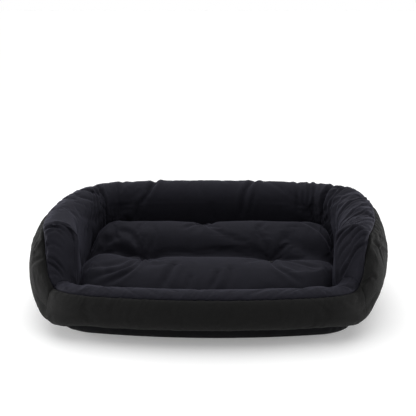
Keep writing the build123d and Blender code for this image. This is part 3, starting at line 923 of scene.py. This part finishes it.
# Reach of a mitre's pocket along the top seam, of the puckers, and of the calm strip on the seam
JOINT_REACH, PUCKER_REACH, CALM_REACH = 0.011, 0.015, 0.0045
LONG_PUCKER, SHORT_PUCKER = 0.0135, 0.0066


def sewn_panel(cloth, normal, turns, spacing, creases, settings, seams, seed):
    """Refine a panel beside its seams, then draw its seams in and add its puckers and creases.

    The normals are those of the whole ring, so that two panels move alike at a shared seam. seams
    gives for each sewn edge, as shares of the settings, how deep it is drawn in, how deep where it
    meets the top seam (None for the same), how far it reaches and how strong its puckers are. The
    depth falls off exponentially from the seam. Puckers vanish on the seams themselves.
    """
    columns = gathered_places(cloth.shape[0], spacing, NEAR_SEAM, COLUMN_PARTS)
    rows = gathered_places(cloth.shape[1], spacing, NEAR_SEAM, ROW_PARTS)

    def refined(grid):
        return catmull(catmull(grid, columns).transpose(1, 0, 2), rows).transpose(1, 0, 2)

    fine, way = refined(cloth), refined(normal)
    way = way / np.linalg.norm(way, axis=2, keepdims=True)
    along, across = run_lengths(fine, 0), run_lengths(fine, 1)
    heads = np.interp(columns, np.arange(len(turns)), turns)
    shift = np.zeros(along.shape)
    distances = {
        "low": across,
        "high": across[:, -1:] - across,
        "first": along,
        "last": along[-1:] - along,
    }
    puckers, joined = np.zeros(along.shape), np.ones(along.shape)
    for edge, (depth, joint_depth, reach, gather) in seams.items():
        away = distances[edge]
        run = across if edge in ("first", "last") else along
        deeper = 0
        if joint_depth is not None:
            deeper = (joint_depth - depth) * np.exp(-distances["high"] / JOINT_REACH)
        fall = np.exp(-away / (reach * settings.seam_reach))
        shift -= (depth + deeper) * settings.seam_depth * fall
        waves = 2.0 * ripple(run, LONG_PUCKER, seed) + ripple(run, SHORT_PUCKER, seed + 1.7)
        puckers += gather * settings.pucker * np.exp(-away / PUCKER_REACH) * waves
        joined *= 1 - np.exp(-away / CALM_REACH)
    shift += puckers * joined
    shift += crease_depth(heads, rows / (cloth.shape[1] - 1), along, creases)
    return fine + way * shift[..., None], along, across


# ---------------------------------------------------------------- operators


# Depth and reach of the mitre seams, and the two long seams as sewn_panel takes them
REAR_MITRE, ARM_MITRE, LIP_MITRE = (1.1, 1.2), (1.6, 2.6), (1.6, 4.0)
BASE_SEAM, TOP_SEAM = (0.8, None, 1.0, 0.3), (1.45, None, 0.8, 0.3)
OUTER_ROWS, INNER_ROWS = 34, 47
DIVIDERS = ("front_left", "front_right", "rear_right", "rear_left")
# Width of the mean along the ring in columns, and rounds of the mean on the cushion
EVEN_COLUMNS, EVEN_ROUNDS = 7.0, 110


class DOGBED_OT_bolsters(bpy.types.Operator):
    """Make the outer and inner cover panels of the four bolsters"""

    bl_idname = "dogbed.bolsters"
    bl_label = "Bolster covers"

    def execute(self, context):
        sizes, folds, colours = settings_of(context.scene)
        arcs = plan_arcs(sizes)
        turns, starts = [], {}
        for side, (first, last) in MITRES.items():
            starts[side] = sum(len(part) for part in turns)
            turns.append(even_turns(arcs, first, last, sizes.column)[:-1])
        turns = np.concatenate(turns)
        outer_chain, inner_chain = bolster_chain(turns, sizes)
        outer = along_chain(outer_chain, np.linspace(0, 1, OUTER_ROWS))
        inner = along_chain(inner_chain, np.linspace(0, 1, INNER_ROWS))
        inset = np.concatenate([outer[0], inner[0][:, 1:]], axis=1)
        height = np.concatenate([outer[1], inner[1][:, 1:]], axis=1)
        ring = place_on_plan(arcs, turns, *stuffed_shape(turns, inset, height, folds))
        ring = self.swell(ring, turns, OUTER_ROWS, folds)
        looped = np.concatenate([ring[-1:], ring, ring[:1]])
        normals = grid_normals(looped)[1:-1]
        cloths = {
            "outer": (slice(0, OUTER_ROWS), woven_outer(colours.outer), OUTER_CREASES),
            "inner": (slice(OUTER_ROWS - 1, None), brushed_inner(colours.inner), INNER_CREASES),
        }
        sides = list(MITRES)
        for index, side in enumerate(sides):
            start = starts[side]
            end = starts[sides[index + 1]] if index < 3 else len(turns)
            members = np.arange(start, end + 1) % len(turns)
            heads = np.append(turns[start:end], MITRES[side][1])
            for kind, (rows, cloth, creases) in cloths.items():
                name = f"{kind}_{side}"
                grid, along, across = sewn_panel(
                    ring[members][:, rows],
                    normals[members][:, rows],
                    heads,
                    sizes.column,
                    creases,
                    folds,
                    self.seams(side, kind),
                    0.4 + 1.3 * index,
                )
                uv = np.stack([along, across], axis=2).reshape(-1, 2)
                faces = grid_faces(*grid.shape[:2])
                piece = new_piece(f"{name}_cover", grid.reshape(-1, 3), faces, uv=uv)
                nodes = [f"{name}_panel"]
                if kind == "inner":
                    nodes += [f"{side}_bolster_fill", f"{DIVIDERS[index]}_divider"]
                finish_fabric(
                    piece, "shell", cloth, nodes, sizes.thickness
                )
        return {"FINISHED"}

    @staticmethod
    def seams(side, kind):
        """How each sewn edge of a panel is drawn in, as sewn_panel takes it.

        The mitres beside the front lip are the deepest, and reach furthest into the lip itself.
        """
        front_ends = {"front": ("first", "last"), "right": ("first",), "left": ("last",)}
        seams = {}
        for edge in ("first", "last"):
            deep, reach = REAR_MITRE
            if edge in front_ends.get(side, ()):
                deep, reach = LIP_MITRE if side == "front" else ARM_MITRE
            seams[edge] = (0.1, deep, 1.0, 0.0) if kind == "outer" else (deep, None, reach, 0.22)
        if kind == "outer":
            seams.update({"low": BASE_SEAM, "high": TOP_SEAM})
        else:
            seams["low"] = TOP_SEAM
        return seams

    @staticmethod
    def swell(ring, turns, seam_row, folds):
        """Swell the ring between its seams, then keep its wrinkles and little of its growth.

        The movement is then calmed on the outer panels, the front lip and the back's crest, and
        towards the floor.
        """
        columns, rows = ring.shape[:2]
        work = new_piece("bolster_cloth", ring.reshape(-1, 3), grid_faces(columns, rows, wrap=True))
        sewn = np.zeros((columns, rows))
        sewn[:, [0, 1, seam_row - 1, rows - 1]] = 1.0
        for _, mitre in MITRES.values():
            sewn[turn_gap(turns, mitre) < 0.9, seam_row:] = 0.8
        reach = np.full((columns, rows), folds.swell)
        result = swell_cloth(
            work, sewn.ravel(), folds.pressure, folds.slack, folds.frames, reach.ravel()
        )
        remove_piece(work)
        shift = result.reshape(columns, rows, 3) - ring
        shift -= (1 - folds.kept_swell) * even_out(shift, EVEN_COLUMNS)
        calm = np.ones((columns, rows))
        calm[:, :seam_row] = 0.75
        front = np.clip((62 - turn_gap(turns, -90)) / 14, 0, 1)
        calm[:, :seam_row] -= 0.5 * front[:, None]
        crest = 1 - 0.65 * np.clip((62 - turn_gap(turns, 90)) / 14, 0, 1)
        calm[:, seam_row - 6 : seam_row + 16] *= (crest - 0.55 * front)[:, None]
        down = np.clip((ring[..., 2] - 0.055) / 0.06, 0.15, 1)
        calm[:, seam_row + 18 :] *= down[:, seam_row + 18 :]
        return ring + shift * calm[..., None]


# Height of the base fabric over the floor, its wall, and its rings from the rim to the middle
BASE_LIFT, BASE_WALL = 0.0006, 0.0012
BASE_RINGS = np.array([0.985, 0.95, 0.86, 0.72, 0.56, 0.40, 0.25, 0.12, 0.03])


class DOGBED_OT_base(bpy.types.Operator):
    """Make the base fabric, flat on the floor with its edge turned up to the base seam"""

    bl_idname = "dogbed.base"
    bl_label = "Base fabric"

    def execute(self, context):
        sizes, folds, colours = settings_of(context.scene)
        arcs = plan_arcs(sizes)
        turns = np.concatenate([even_turns(arcs, *ends, sizes.column)[:-1] for ends in MITRES.values()])
        s = section_sizes(turns)
        seam = s["seam_height"] - corner_sag(turns, folds.sag)
        drop = np.linspace(0, 1, 9)
        bulge = 0.0035 * np.sin(np.pi * drop)
        inward = s["floor_inset"] - s["seam_inset"]
        inset = -s["seam_inset"][:, None] - inward[:, None] * drop + bulge
        height = seam[:, None] * (1 - drop)
        run = np.cumsum(np.full(len(turns), sizes.column))[:, None]
        inset += 0.0016 * np.sin(np.pi * drop) * ripple(run, 0.031, 0.8)
        wall = place_on_plan(arcs, turns, inset, np.maximum(height, BASE_LIFT))
        centre = np.array([0.0, 0.0, BASE_LIFT])
        under = centre + (wall[:, -1:, :] - centre) * BASE_RINGS[None, :, None]
        grid = np.concatenate([wall, under], axis=1)
        columns, rows = grid.shape[:2]
        points = np.concatenate([grid.reshape(-1, 3), centre[None]])
        quads = grid_faces(columns, rows, wrap=True)
        ring = np.arange(columns)
        rim, following = ring * rows + rows - 1, (ring + 1) % columns * rows + rows - 1
        fan = np.stack([rim, following, np.full(columns, len(points) - 1)], axis=1)
        piece = new_piece("base_cloth", points, quads[:, ::-1], fan[:, ::-1])
        cloth = coated_base(colours.base)
        finish_fabric(piece, "shell", cloth, ["base_panel"], BASE_WALL)
        return {"FINISHED"}


# Cushion stations as shares: place, rear edge, front edge, crown, valley dip, rear crest dip
CUSHION_SHARES = np.array([
    (-1.00, 0.46, 0.42, 0.42, 0.0, 0.0),
    (-0.965, 0.76, 0.68, 0.76, 0.0, 0.0),
    (-0.90, 0.93, 0.86, 0.92, 0.0, 0.0),
    (-0.80, 1.00, 0.93, 0.98, 0.0, 0.0),
    (-0.67, 1.00, 0.95, 0.97, 0.2, 0.0),
    (-0.52, 1.00, 0.975, 0.97, 1.0, 0.0),
    (-0.38, 1.00, 0.99, 1.00, 0.2, 0.1),
    (-0.24, 1.00, 1.00, 1.00, 0.0, 0.4),
    (-0.10, 1.00, 1.00, 1.00, 0.1, 1.0),
    (0.04, 1.00, 1.00, 1.00, 0.0, 0.4),
    (0.18, 1.00, 1.00, 1.00, 0.0, 0.1),
    (0.34, 1.00, 0.99, 1.00, 0.2, 0.0),
    (0.49, 1.00, 0.975, 0.97, 1.0, 0.0),
    (0.65, 1.00, 0.95, 0.97, 0.2, 0.0),
    (0.79, 1.00, 0.93, 0.98, 0.0, 0.0),
    (0.90, 0.93, 0.86, 0.93, 0.0, 0.0),
    (0.965, 0.76, 0.68, 0.76, 0.0, 0.0),
    (1.00, 0.46, 0.42, 0.42, 0.0, 0.0),
])
CUSHION_HALF, CUSHION_REAR, CUSHION_FRONT = 0.288, 0.124, 0.168
CUSHION_SEAM, CUSHION_FLOOR, CUSHION_TUCK = 0.062, 0.0023, 0.026
REAR_CROWN, FRONT_CROWN, VALLEY = 0.150, 0.115, 0.093
REAR_CREST, FRONT_CREST = 0.086, 0.095
CHANNEL, CHANNEL_REAR, CHANNEL_FRONT = 0.015, 0.012, 0.007
ROW_DIP, CREST_DIP = 0.010, 0.005
REAR_LAND, FRONT_LAND = 0.012, 0.005
# The valley bends back at its left end: (place, depth of the plan in metres)
VALLEY_BEND = np.array([
    (-1.0, 0.016),
    (-0.92, 0.028),
    (-0.84, 0.023),
    (-0.757, 0.015),
    (-0.68, 0.006),
    (-0.58, -0.004),
    (-0.52, -0.008),
])
# Share of the half length that the stations cover, and the rounding of the two end caps
CUSHION_BODY, CAP_DEPTH, CAP_TURNS = 0.985, 0.005, (25, 50, 72)
STATIONS = 140


def arc_through(first, middle, last, count):
    """Points on the circle through three points, for whole arrays of them at once.

    The centre comes from the two perpendicular bisectors; the arc runs past the middle point.
    """
    (ax, ay), (bx, by), (cx, cy) = first, middle, last
    d = 2 * (ax * (by - cy) + bx * (cy - ay) + cx * (ay - by))
    sa, sb, sc = ax**2 + ay**2, bx**2 + by**2, cx**2 + cy**2
    ux = (sa * (by - cy) + sb * (cy - ay) + sc * (ay - by)) / d
    uy = (sa * (cx - bx) + sb * (ax - cx) + sc * (bx - ax)) / d
    radius = np.hypot(ax - ux, ay - uy)
    start, end = np.arctan2(ay - uy, ax - ux), np.arctan2(cy - uy, cx - ux)
    sweep = np.where(d > 0, np.mod(end - start, 2 * np.pi), -np.mod(start - end, 2 * np.pi))
    angle = start[:, None] + sweep[:, None] * np.linspace(0, 1, count)[None, :]
    across, up = radius[:, None] * np.cos(angle), radius[:, None] * np.sin(angle)
    return ux[:, None] + across, uy[:, None] + up


def straight(first, last, count):
    """Points on the line between two points, for whole arrays of them at once."""
    t = np.linspace(0, 1, count)[None, :]
    (ax, ay), (bx, by) = first, last
    return ax[:, None] + (bx - ax)[:, None] * t, ay[:, None] + (by - ay)[:, None] * t


def cushion_loops(places):
    """Closed outlines of the cushion at each place: two rounded rows, a channel between."""
    table = [np.interp(places, CUSHION_SHARES[:, 0], CUSHION_SHARES[:, k]) for k in range(1, 6)]
    rear_share, front_share, crown, row_dip, crest_dip = table
    rear, front = CUSHION_REAR * rear_share, -CUSHION_FRONT * front_share
    full = np.minimum(1.0, 2 * crown)
    rear_top = CUSHION_SEAM + (REAR_CROWN - CUSHION_SEAM) * crown - CREST_DIP * crest_dip
    valley_top = CUSHION_SEAM + (VALLEY - CUSHION_SEAM) * crown - ROW_DIP * row_dip
    front_top = CUSHION_SEAM + (FRONT_CROWN - CUSHION_SEAM) * crown
    floor = CUSHION_SEAM - (CUSHION_SEAM - CUSHION_FLOOR) * full
    tuck = CUSHION_TUCK * full
    valley_place = np.interp(places, VALLEY_BEND[:, 0], VALLEY_BEND[:, 1]) * rear_share
    rear_low = (rear, CUSHION_SEAM - REAR_LAND * full)
    rear_high = (rear, CUSHION_SEAM + REAR_LAND * full)
    front_low = (front, CUSHION_SEAM - FRONT_LAND * full)
    front_high = (front, CUSHION_SEAM + FRONT_LAND * full)
    rear_shoulder = (valley_place + CHANNEL * rear_share, valley_top + CHANNEL_REAR * crown)
    front_shoulder = (valley_place - CHANNEL * rear_share, valley_top + CHANNEL_FRONT * crown)
    bow = 1 - math.sqrt(0.5)
    rear_bow = (rear - tuck * bow, floor + (rear_low[1] - floor) * bow)
    front_bow = (front + tuck * bow, floor + (front_low[1] - floor) * bow)
    parts = [
        arc_through((rear - tuck, floor), rear_bow, rear_low, 9),
        straight(rear_low, rear_high, 4),
        arc_through(rear_high, (REAR_CREST * rear_share, rear_top), rear_shoulder, 34),
        arc_through(rear_shoulder, (valley_place, valley_top), front_shoulder, 12),
        arc_through(front_shoulder, (-FRONT_CREST * front_share, front_top), front_high, 34),
        straight(front_high, front_low, 3),
        arc_through(front_low, front_bow, (front + tuck, floor), 9),
        straight((front + tuck, floor), (rear - tuck, floor), 40),
    ]
    depth = np.concatenate([part[0][:, :-1] for part in parts], axis=1)
    height = np.concatenate([part[1][:, :-1] for part in parts], axis=1)
    return depth, height


class DOGBED_OT_cushion(bpy.types.Operator):
    """Make the loose cushion: two stuffed rows, sewn in along the valley and at the tufts"""

    bl_idname = "dogbed.cushion"
    bl_label = "Cushion"

    def execute(self, context):
        sizes, folds, colours = settings_of(context.scene)
        places = np.linspace(-1, 1, STATIONS)
        depth, height = cushion_loops(places)
        slant = math.hypot(1, sizes.lean)
        x = (places * CUSHION_HALF * CUSHION_BODY)[:, None] + sizes.lean * depth / slant
        grid = np.stack([x, depth / slant, height], axis=2)
        left, right = self.cap(grid[0], -1), self.cap(grid[-1], 1)
        grid = np.concatenate([left[::-1], grid, right])
        stations, round_points = grid.shape[:2]
        closed = np.concatenate([grid, grid[:, :1]], axis=1)
        faces = grid_faces(stations, round_points + 1)
        station, around = np.divmod(faces, round_points + 1)
        quads = station * round_points + around % round_points
        poles = [closed[0].mean(axis=0)[None], closed[-1].mean(axis=0)[None]]
        points = np.concatenate([grid.reshape(-1, 3), *poles])
        ring = np.arange(round_points)
        following = (ring + 1) % round_points
        last = (stations - 1) * round_points
        left_pole, right_pole = (np.full(round_points, len(points) - k) for k in (2, 1))
        first_fan = np.stack([following, ring, left_pole], axis=1)
        last_fan = np.stack([last + ring, last + following, right_pole], axis=1)
        piece = new_piece("cushion_cover", points, quads, first_fan, last_fan)
        remesh = piece.modifiers.new("Even", "REMESH")
        remesh.mode, remesh.voxel_size = "VOXEL", folds.voxel
        piece = worked_in(piece)
        self.swell(piece, folds)
        finer = piece.modifiers.new("Finer", "SUBSURF")
        finer.levels = finer.render_levels = 1
        piece = worked_in(piece)
        self.sew(piece, folds)
        nodes = ["cushion_top_panel", "cushion_bottom_panel", "cushion_fill"]
        cloth = brushed_inner(colours.inner)
        finish_fabric(piece, "cushion", cloth, nodes)
        return {"FINISHED"}

    @staticmethod
    def cap(outline, way):
        """Rings that round off one end: each shrinks by a cosine and moves out by a sine."""
        middle, rings = outline.mean(axis=0), []
        for turn in np.radians(CAP_TURNS):
            ring = middle + (outline - middle) * math.cos(turn)
            ring[:, 0] += way * CAP_DEPTH * math.sin(turn)
            rings.append(ring)
        return np.array(rings)

    @staticmethod
    def swell(piece, folds):
        """Swell the cushion between its underside, zip band and tufts, and keep its wrinkles."""
        start = mesh_points(piece.data)
        x, y, z = start.T
        sewn = np.zeros(len(start))
        sewn[z < 0.006] = 1.0
        sewn[(y > 0.108) & (np.abs(z - CUSHION_SEAM) < 0.014)] = 1.0
        for thread in tuft_tops():
            away = np.hypot(x - thread[0], y - thread[1])
            sewn[(away < 0.006) & (z > CUSHION_SEAM)] = 1.0
        reach = np.full(len(start), folds.cushion_swell)
        result = swell_cloth(
            piece, sewn, folds.cushion_pressure, folds.cushion_slack, folds.frames, reach, bending=0.3
        )
        shift = result - start
        shift -= (1 - folds.kept_swell) * mean_with_neighbours(piece.data, shift, EVEN_ROUNDS)
        top = np.clip((z - 0.05) / 0.03, 0.25, 1)
        set_points(piece.data, start + shift * top[:, None])

    @staticmethod
    def sew(piece, folds):
        """Draw in the tufts and the edge seam, add the creases and press in the zip's placket.

        A tuft is a bell curve of the plan distance that lowers the cover to its thread, with
        puckers that run out from it. The edge seam is an exponential groove at its own height.
        """
        points = mesh_points(piece.data)
        normal = np.zeros(len(points) * 3, np.float32)
        piece.data.vertices.foreach_get("normal", normal)
        normal = normal.reshape(-1, 3)
        top = np.clip((points[:, 2] - 0.066) / 0.012, 0, 1) * np.clip(normal[:, 2] / 0.2, 0, 1)
        points += normal * (plan_creases(points, CUSHION_CREASES) * top)[:, None]
        x, y, z = points.T
        for order, thread in enumerate(tuft_tops()):
            away = np.hypot(x - thread[0], y - thread[1])
            turn = np.arctan2(y - thread[1], x - thread[0])
            near = (away < 0.004) & (top > 0.5)
            lower = z[near].mean() - (thread[2] - 0.0019)
            bell = np.exp(-((away / 0.010) ** 2))
            swing = np.sin(7 * turn + 1.3 * order)
            star = 0.0013 * swing * (away / 0.011) * np.exp(1 - away / 0.011)
            z -= (lower * bell - star) * top
        side = np.exp(-np.abs(z - CUSHION_SEAM) / 0.003) * (1 - np.abs(normal[:, 2]))
        back = (y > 0.105) & (np.abs(x - 0.0095) < 0.2)
        points -= normal * (0.0022 * side * ~back)[:, None]
        middle, half = (tape_low.x + tape_high.x) / 2, (tape_high.x - tape_low.x) / 2 + 0.001
        band = (tape_high.z - tape_below.z) / 2 + 0.001
        inside = (np.abs(x - middle) < half) & (np.abs(z - CUSHION_SEAM) < band) & (y > 0.10)
        points[inside, 1] = np.minimum(y[inside], tape_low.y - 0.0012)
        set_points(piece.data, points)


def tuft_tops():
    """Top of each tuft's thread, read from the measured node, at the thread's middle."""
    points = mesh_points(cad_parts["tuft_threads"].data)
    high = points[points[:, 2] > CUSHION_SEAM + 0.01]
    tops = []
    while len(high):
        near = np.linalg.norm(high[:, :2] - high[0, :2], axis=1) < 0.03
        group = high[near]
        low, top = group.min(axis=0), group.max(axis=0)
        tops.append(((low[0] + top[0]) / 2, (low[1] + top[1]) / 2, top[2]))
        high = high[~near]
    return tops


class DOGBED_OT_fittings(bpy.types.Operator):
    """Give the zip and the tuft threads their finishes"""

    bl_idname = "dogbed.fittings"
    bl_label = "Zip and threads"

    def execute(self, context):
        colours = context.scene.bed_colours
        tape, nylon = zip_tape_cloth(colours.thread), moulded_nylon(colours.thread)
        enamel, thread = black_enamel(colours.metal), twisted_thread(colours.thread)
        finishes = {
            "zip_tape_upper": tape,
            "zip_tape_lower": tape,
            "zip_teeth_upper": nylon,
            "zip_teeth_lower": nylon,
            "zip_stops": nylon,
            "zip_slider": enamel,
            "zip_pull": enamel,
            "tuft_threads": thread,
        }
        for node, material in finishes.items():
            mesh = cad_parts[node].data
            mesh.materials.clear()
            mesh.materials.append(material)
        return {"FINISHED"}


# Floor: half size in metres, shade, and the glow that lifts it to white where it is looked at
FLOOR_HALF, FLOOR_SHADE, FLOOR_GLOW = 12.0, 0.93, 0.17
AMBIENT, SKY_POWER, SKY_SPREAD, SKY_LEAN = 0.30, 1.95, 80, -14
LAMP_AIM, LAMP_SIZE = (0.0, 0.0, 0.12), (1.4, 0.42)
# Name, place and power in watts of each side lamp
SIDE_LAMPS = (("Left", (-1.7, -0.08, 0.26), 28.0), ("Right", (1.7, -0.08, 0.26), 20.0))
# Camera fitted to the outline in the photograph. The focal length and the two shifts of the
# picture's middle are in pixels of a picture 416 wide, the angles in degrees.
PICTURE, FOCAL, SENSOR = 416, 689.3, 36.0
EYE_DISTANCE, EYE_RISE, EYE_YAW, EYE_TARGET = 1.6063, 22.9152, 0.7932, (0, 0, 0.10)
SIDE_SHIFT, DOWN_SHIFT = 2.1989, 47 - 0.7179


class DOGBED_OT_stage(bpy.types.Operator):
    """Make the white floor, the soft lamps and the camera"""

    bl_idname = "dogbed.stage"
    bl_label = "Stage"

    def execute(self, context):
        self.floor()
        self.lamps(context.scene)
        self.camera(context.scene)
        context.scene.view_settings.view_transform = "Standard"
        return {"FINISHED"}

    @staticmethod
    def floor():
        """White floor that keeps the bed's shadow and is pure white to the camera elsewhere."""
        corners = FLOOR_HALF * np.array([(-1, -1, 0), (1, -1, 0), (1, 1, 0), (-1, 1, 0)])
        piece = new_piece("floor", corners, np.array([[0, 1, 2, 3]]))
        material = bpy.data.materials.new("Floor_white")
        tree = Tree(material, bare=True)
        shade = (FLOOR_SHADE, FLOOR_SHADE, FLOOR_SHADE, 1)
        plain = tree.value("ShaderNodeBsdfDiffuse", None, {"Color": shade})
        glow = tree.value("ShaderNodeEmission", None, {"Strength": tree.looked_at() * FLOOR_GLOW})
        both = tree.value("ShaderNodeAddShader", None, {0: plain, 1: glow})
        tree.node("ShaderNodeOutputMaterial", None, {"Surface": both})
        piece.data.materials.append(material)

    @staticmethod
    def lamps(scene):
        """Even white surroundings, a broad soft sun over the bed and a soft box at each side."""
        world = bpy.data.worlds.new("Studio")
        scene.world = world
        tree = Tree(world, bare=True)
        white = (1, 1, 1, 1)
        ground = tree.value("ShaderNodeBackground", None, {"Color": white, "Strength": AMBIENT})
        seen = tree.value("ShaderNodeBackground", None, {"Color": white, "Strength": 1.0})
        mix = tree.value("ShaderNodeMixShader", None, {0: tree.looked_at(), 1: ground, 2: seen})
        tree.node("ShaderNodeOutputWorld", None, {"Surface": mix})
        sky = bpy.data.lights.new("Sky", "SUN")
        sky.energy, sky.angle = SKY_POWER, math.radians(SKY_SPREAD)
        holder = bpy.data.objects.new("Sky", sky)
        scene.collection.objects.link(holder)
        holder.rotation_euler = (math.radians(SKY_LEAN), 0, 0)
        for name, place, power in SIDE_LAMPS:
            lamp = bpy.data.lights.new(name, "AREA")
            lamp.shape, lamp.energy = "RECTANGLE", power
            lamp.size, lamp.size_y = LAMP_SIZE
            holder = bpy.data.objects.new(name, lamp)
            scene.collection.objects.link(holder)
            holder.location = place
            aim = Vector(LAMP_AIM) - Vector(place)
            holder.rotation_euler = aim.to_track_quat("-Z", "Y").to_euler()

    @staticmethod
    def camera(scene):
        """Camera at the photograph's place: a fitted eye point, then turned off its target."""
        rise, yaw = math.radians(EYE_RISE), math.radians(EYE_YAW)
        level = math.cos(rise)
        back = Vector((math.sin(yaw) * level, -math.cos(yaw) * level, math.sin(rise)))
        eye = Vector(EYE_TARGET) + back * EYE_DISTANCE
        ahead = -back
        right = ahead.cross(Vector((0, 0, 1))).normalized()
        up = right.cross(ahead)
        side, tilt = math.atan(SIDE_SHIFT / FOCAL), math.atan(DOWN_SHIFT / FOCAL)
        lifted = ahead * math.cos(tilt) + up * math.sin(tilt)
        top = up * math.cos(tilt) - ahead * math.sin(tilt)
        look = lifted * math.cos(side) - right * math.sin(side)
        across = right * math.cos(side) + lifted * math.sin(side)
        data = bpy.data.cameras.new("Camera")
        data.sensor_width, data.lens = SENSOR, FOCAL * SENSOR / PICTURE
        data.clip_start, data.clip_end = 0.05, 60
        eye_object = bpy.data.objects.new("Camera", data)
        scene.collection.objects.link(eye_object)
        turn = Matrix((across, top, -look)).transposed().to_4x4()
        eye_object.matrix_world = Matrix.Translation(eye) @ turn
        scene.camera = eye_object


class DOGBED_PT_panel(bpy.types.Panel):
    """Steps and sizes of the dog bed"""

    bl_idname = "DOGBED_PT_panel"
    bl_label = "Dog Bed"
    bl_space_type = "VIEW_3D"
    bl_region_type = "UI"
    bl_category = "Dog Bed"

    def draw(self, context):
        for step in STEPS:
            self.layout.operator(step.bl_idname)
        for group in settings_of(context.scene):
            box = self.layout.box()
            for name in group.bl_rna.properties.keys():
                if name not in ("rna_type", "name"):
                    box.prop(group, name)


STEPS = (DOGBED_OT_bolsters, DOGBED_OT_base, DOGBED_OT_cushion, DOGBED_OT_fittings, DOGBED_OT_stage)
CLASSES = (BedSizes, BedFolds, BedColours, *STEPS, DOGBED_PT_panel)


def register():
    """Register the classes and their settings."""
    for item in CLASSES:
        bpy.utils.register_class(item)
    bpy.types.Scene.bed_sizes = bpy.props.PointerProperty(type=BedSizes)
    bpy.types.Scene.bed_folds = bpy.props.PointerProperty(type=BedFolds)
    bpy.types.Scene.bed_colours = bpy.props.PointerProperty(type=BedColours)


def unregister():
    """Remove the settings and the classes."""
    del bpy.types.Scene.bed_sizes, bpy.types.Scene.bed_folds, bpy.types.Scene.bed_colours
    for item in reversed(CLASSES):
        bpy.utils.unregister_class(item)


def main():
    """Make every piece."""
    register()
    bpy.ops.dogbed.bolsters()
    bpy.ops.dogbed.base()
    bpy.ops.dogbed.cushion()
    bpy.ops.dogbed.fittings()
    bpy.ops.dogbed.stage()


if __name__ == "__main__":
    main()
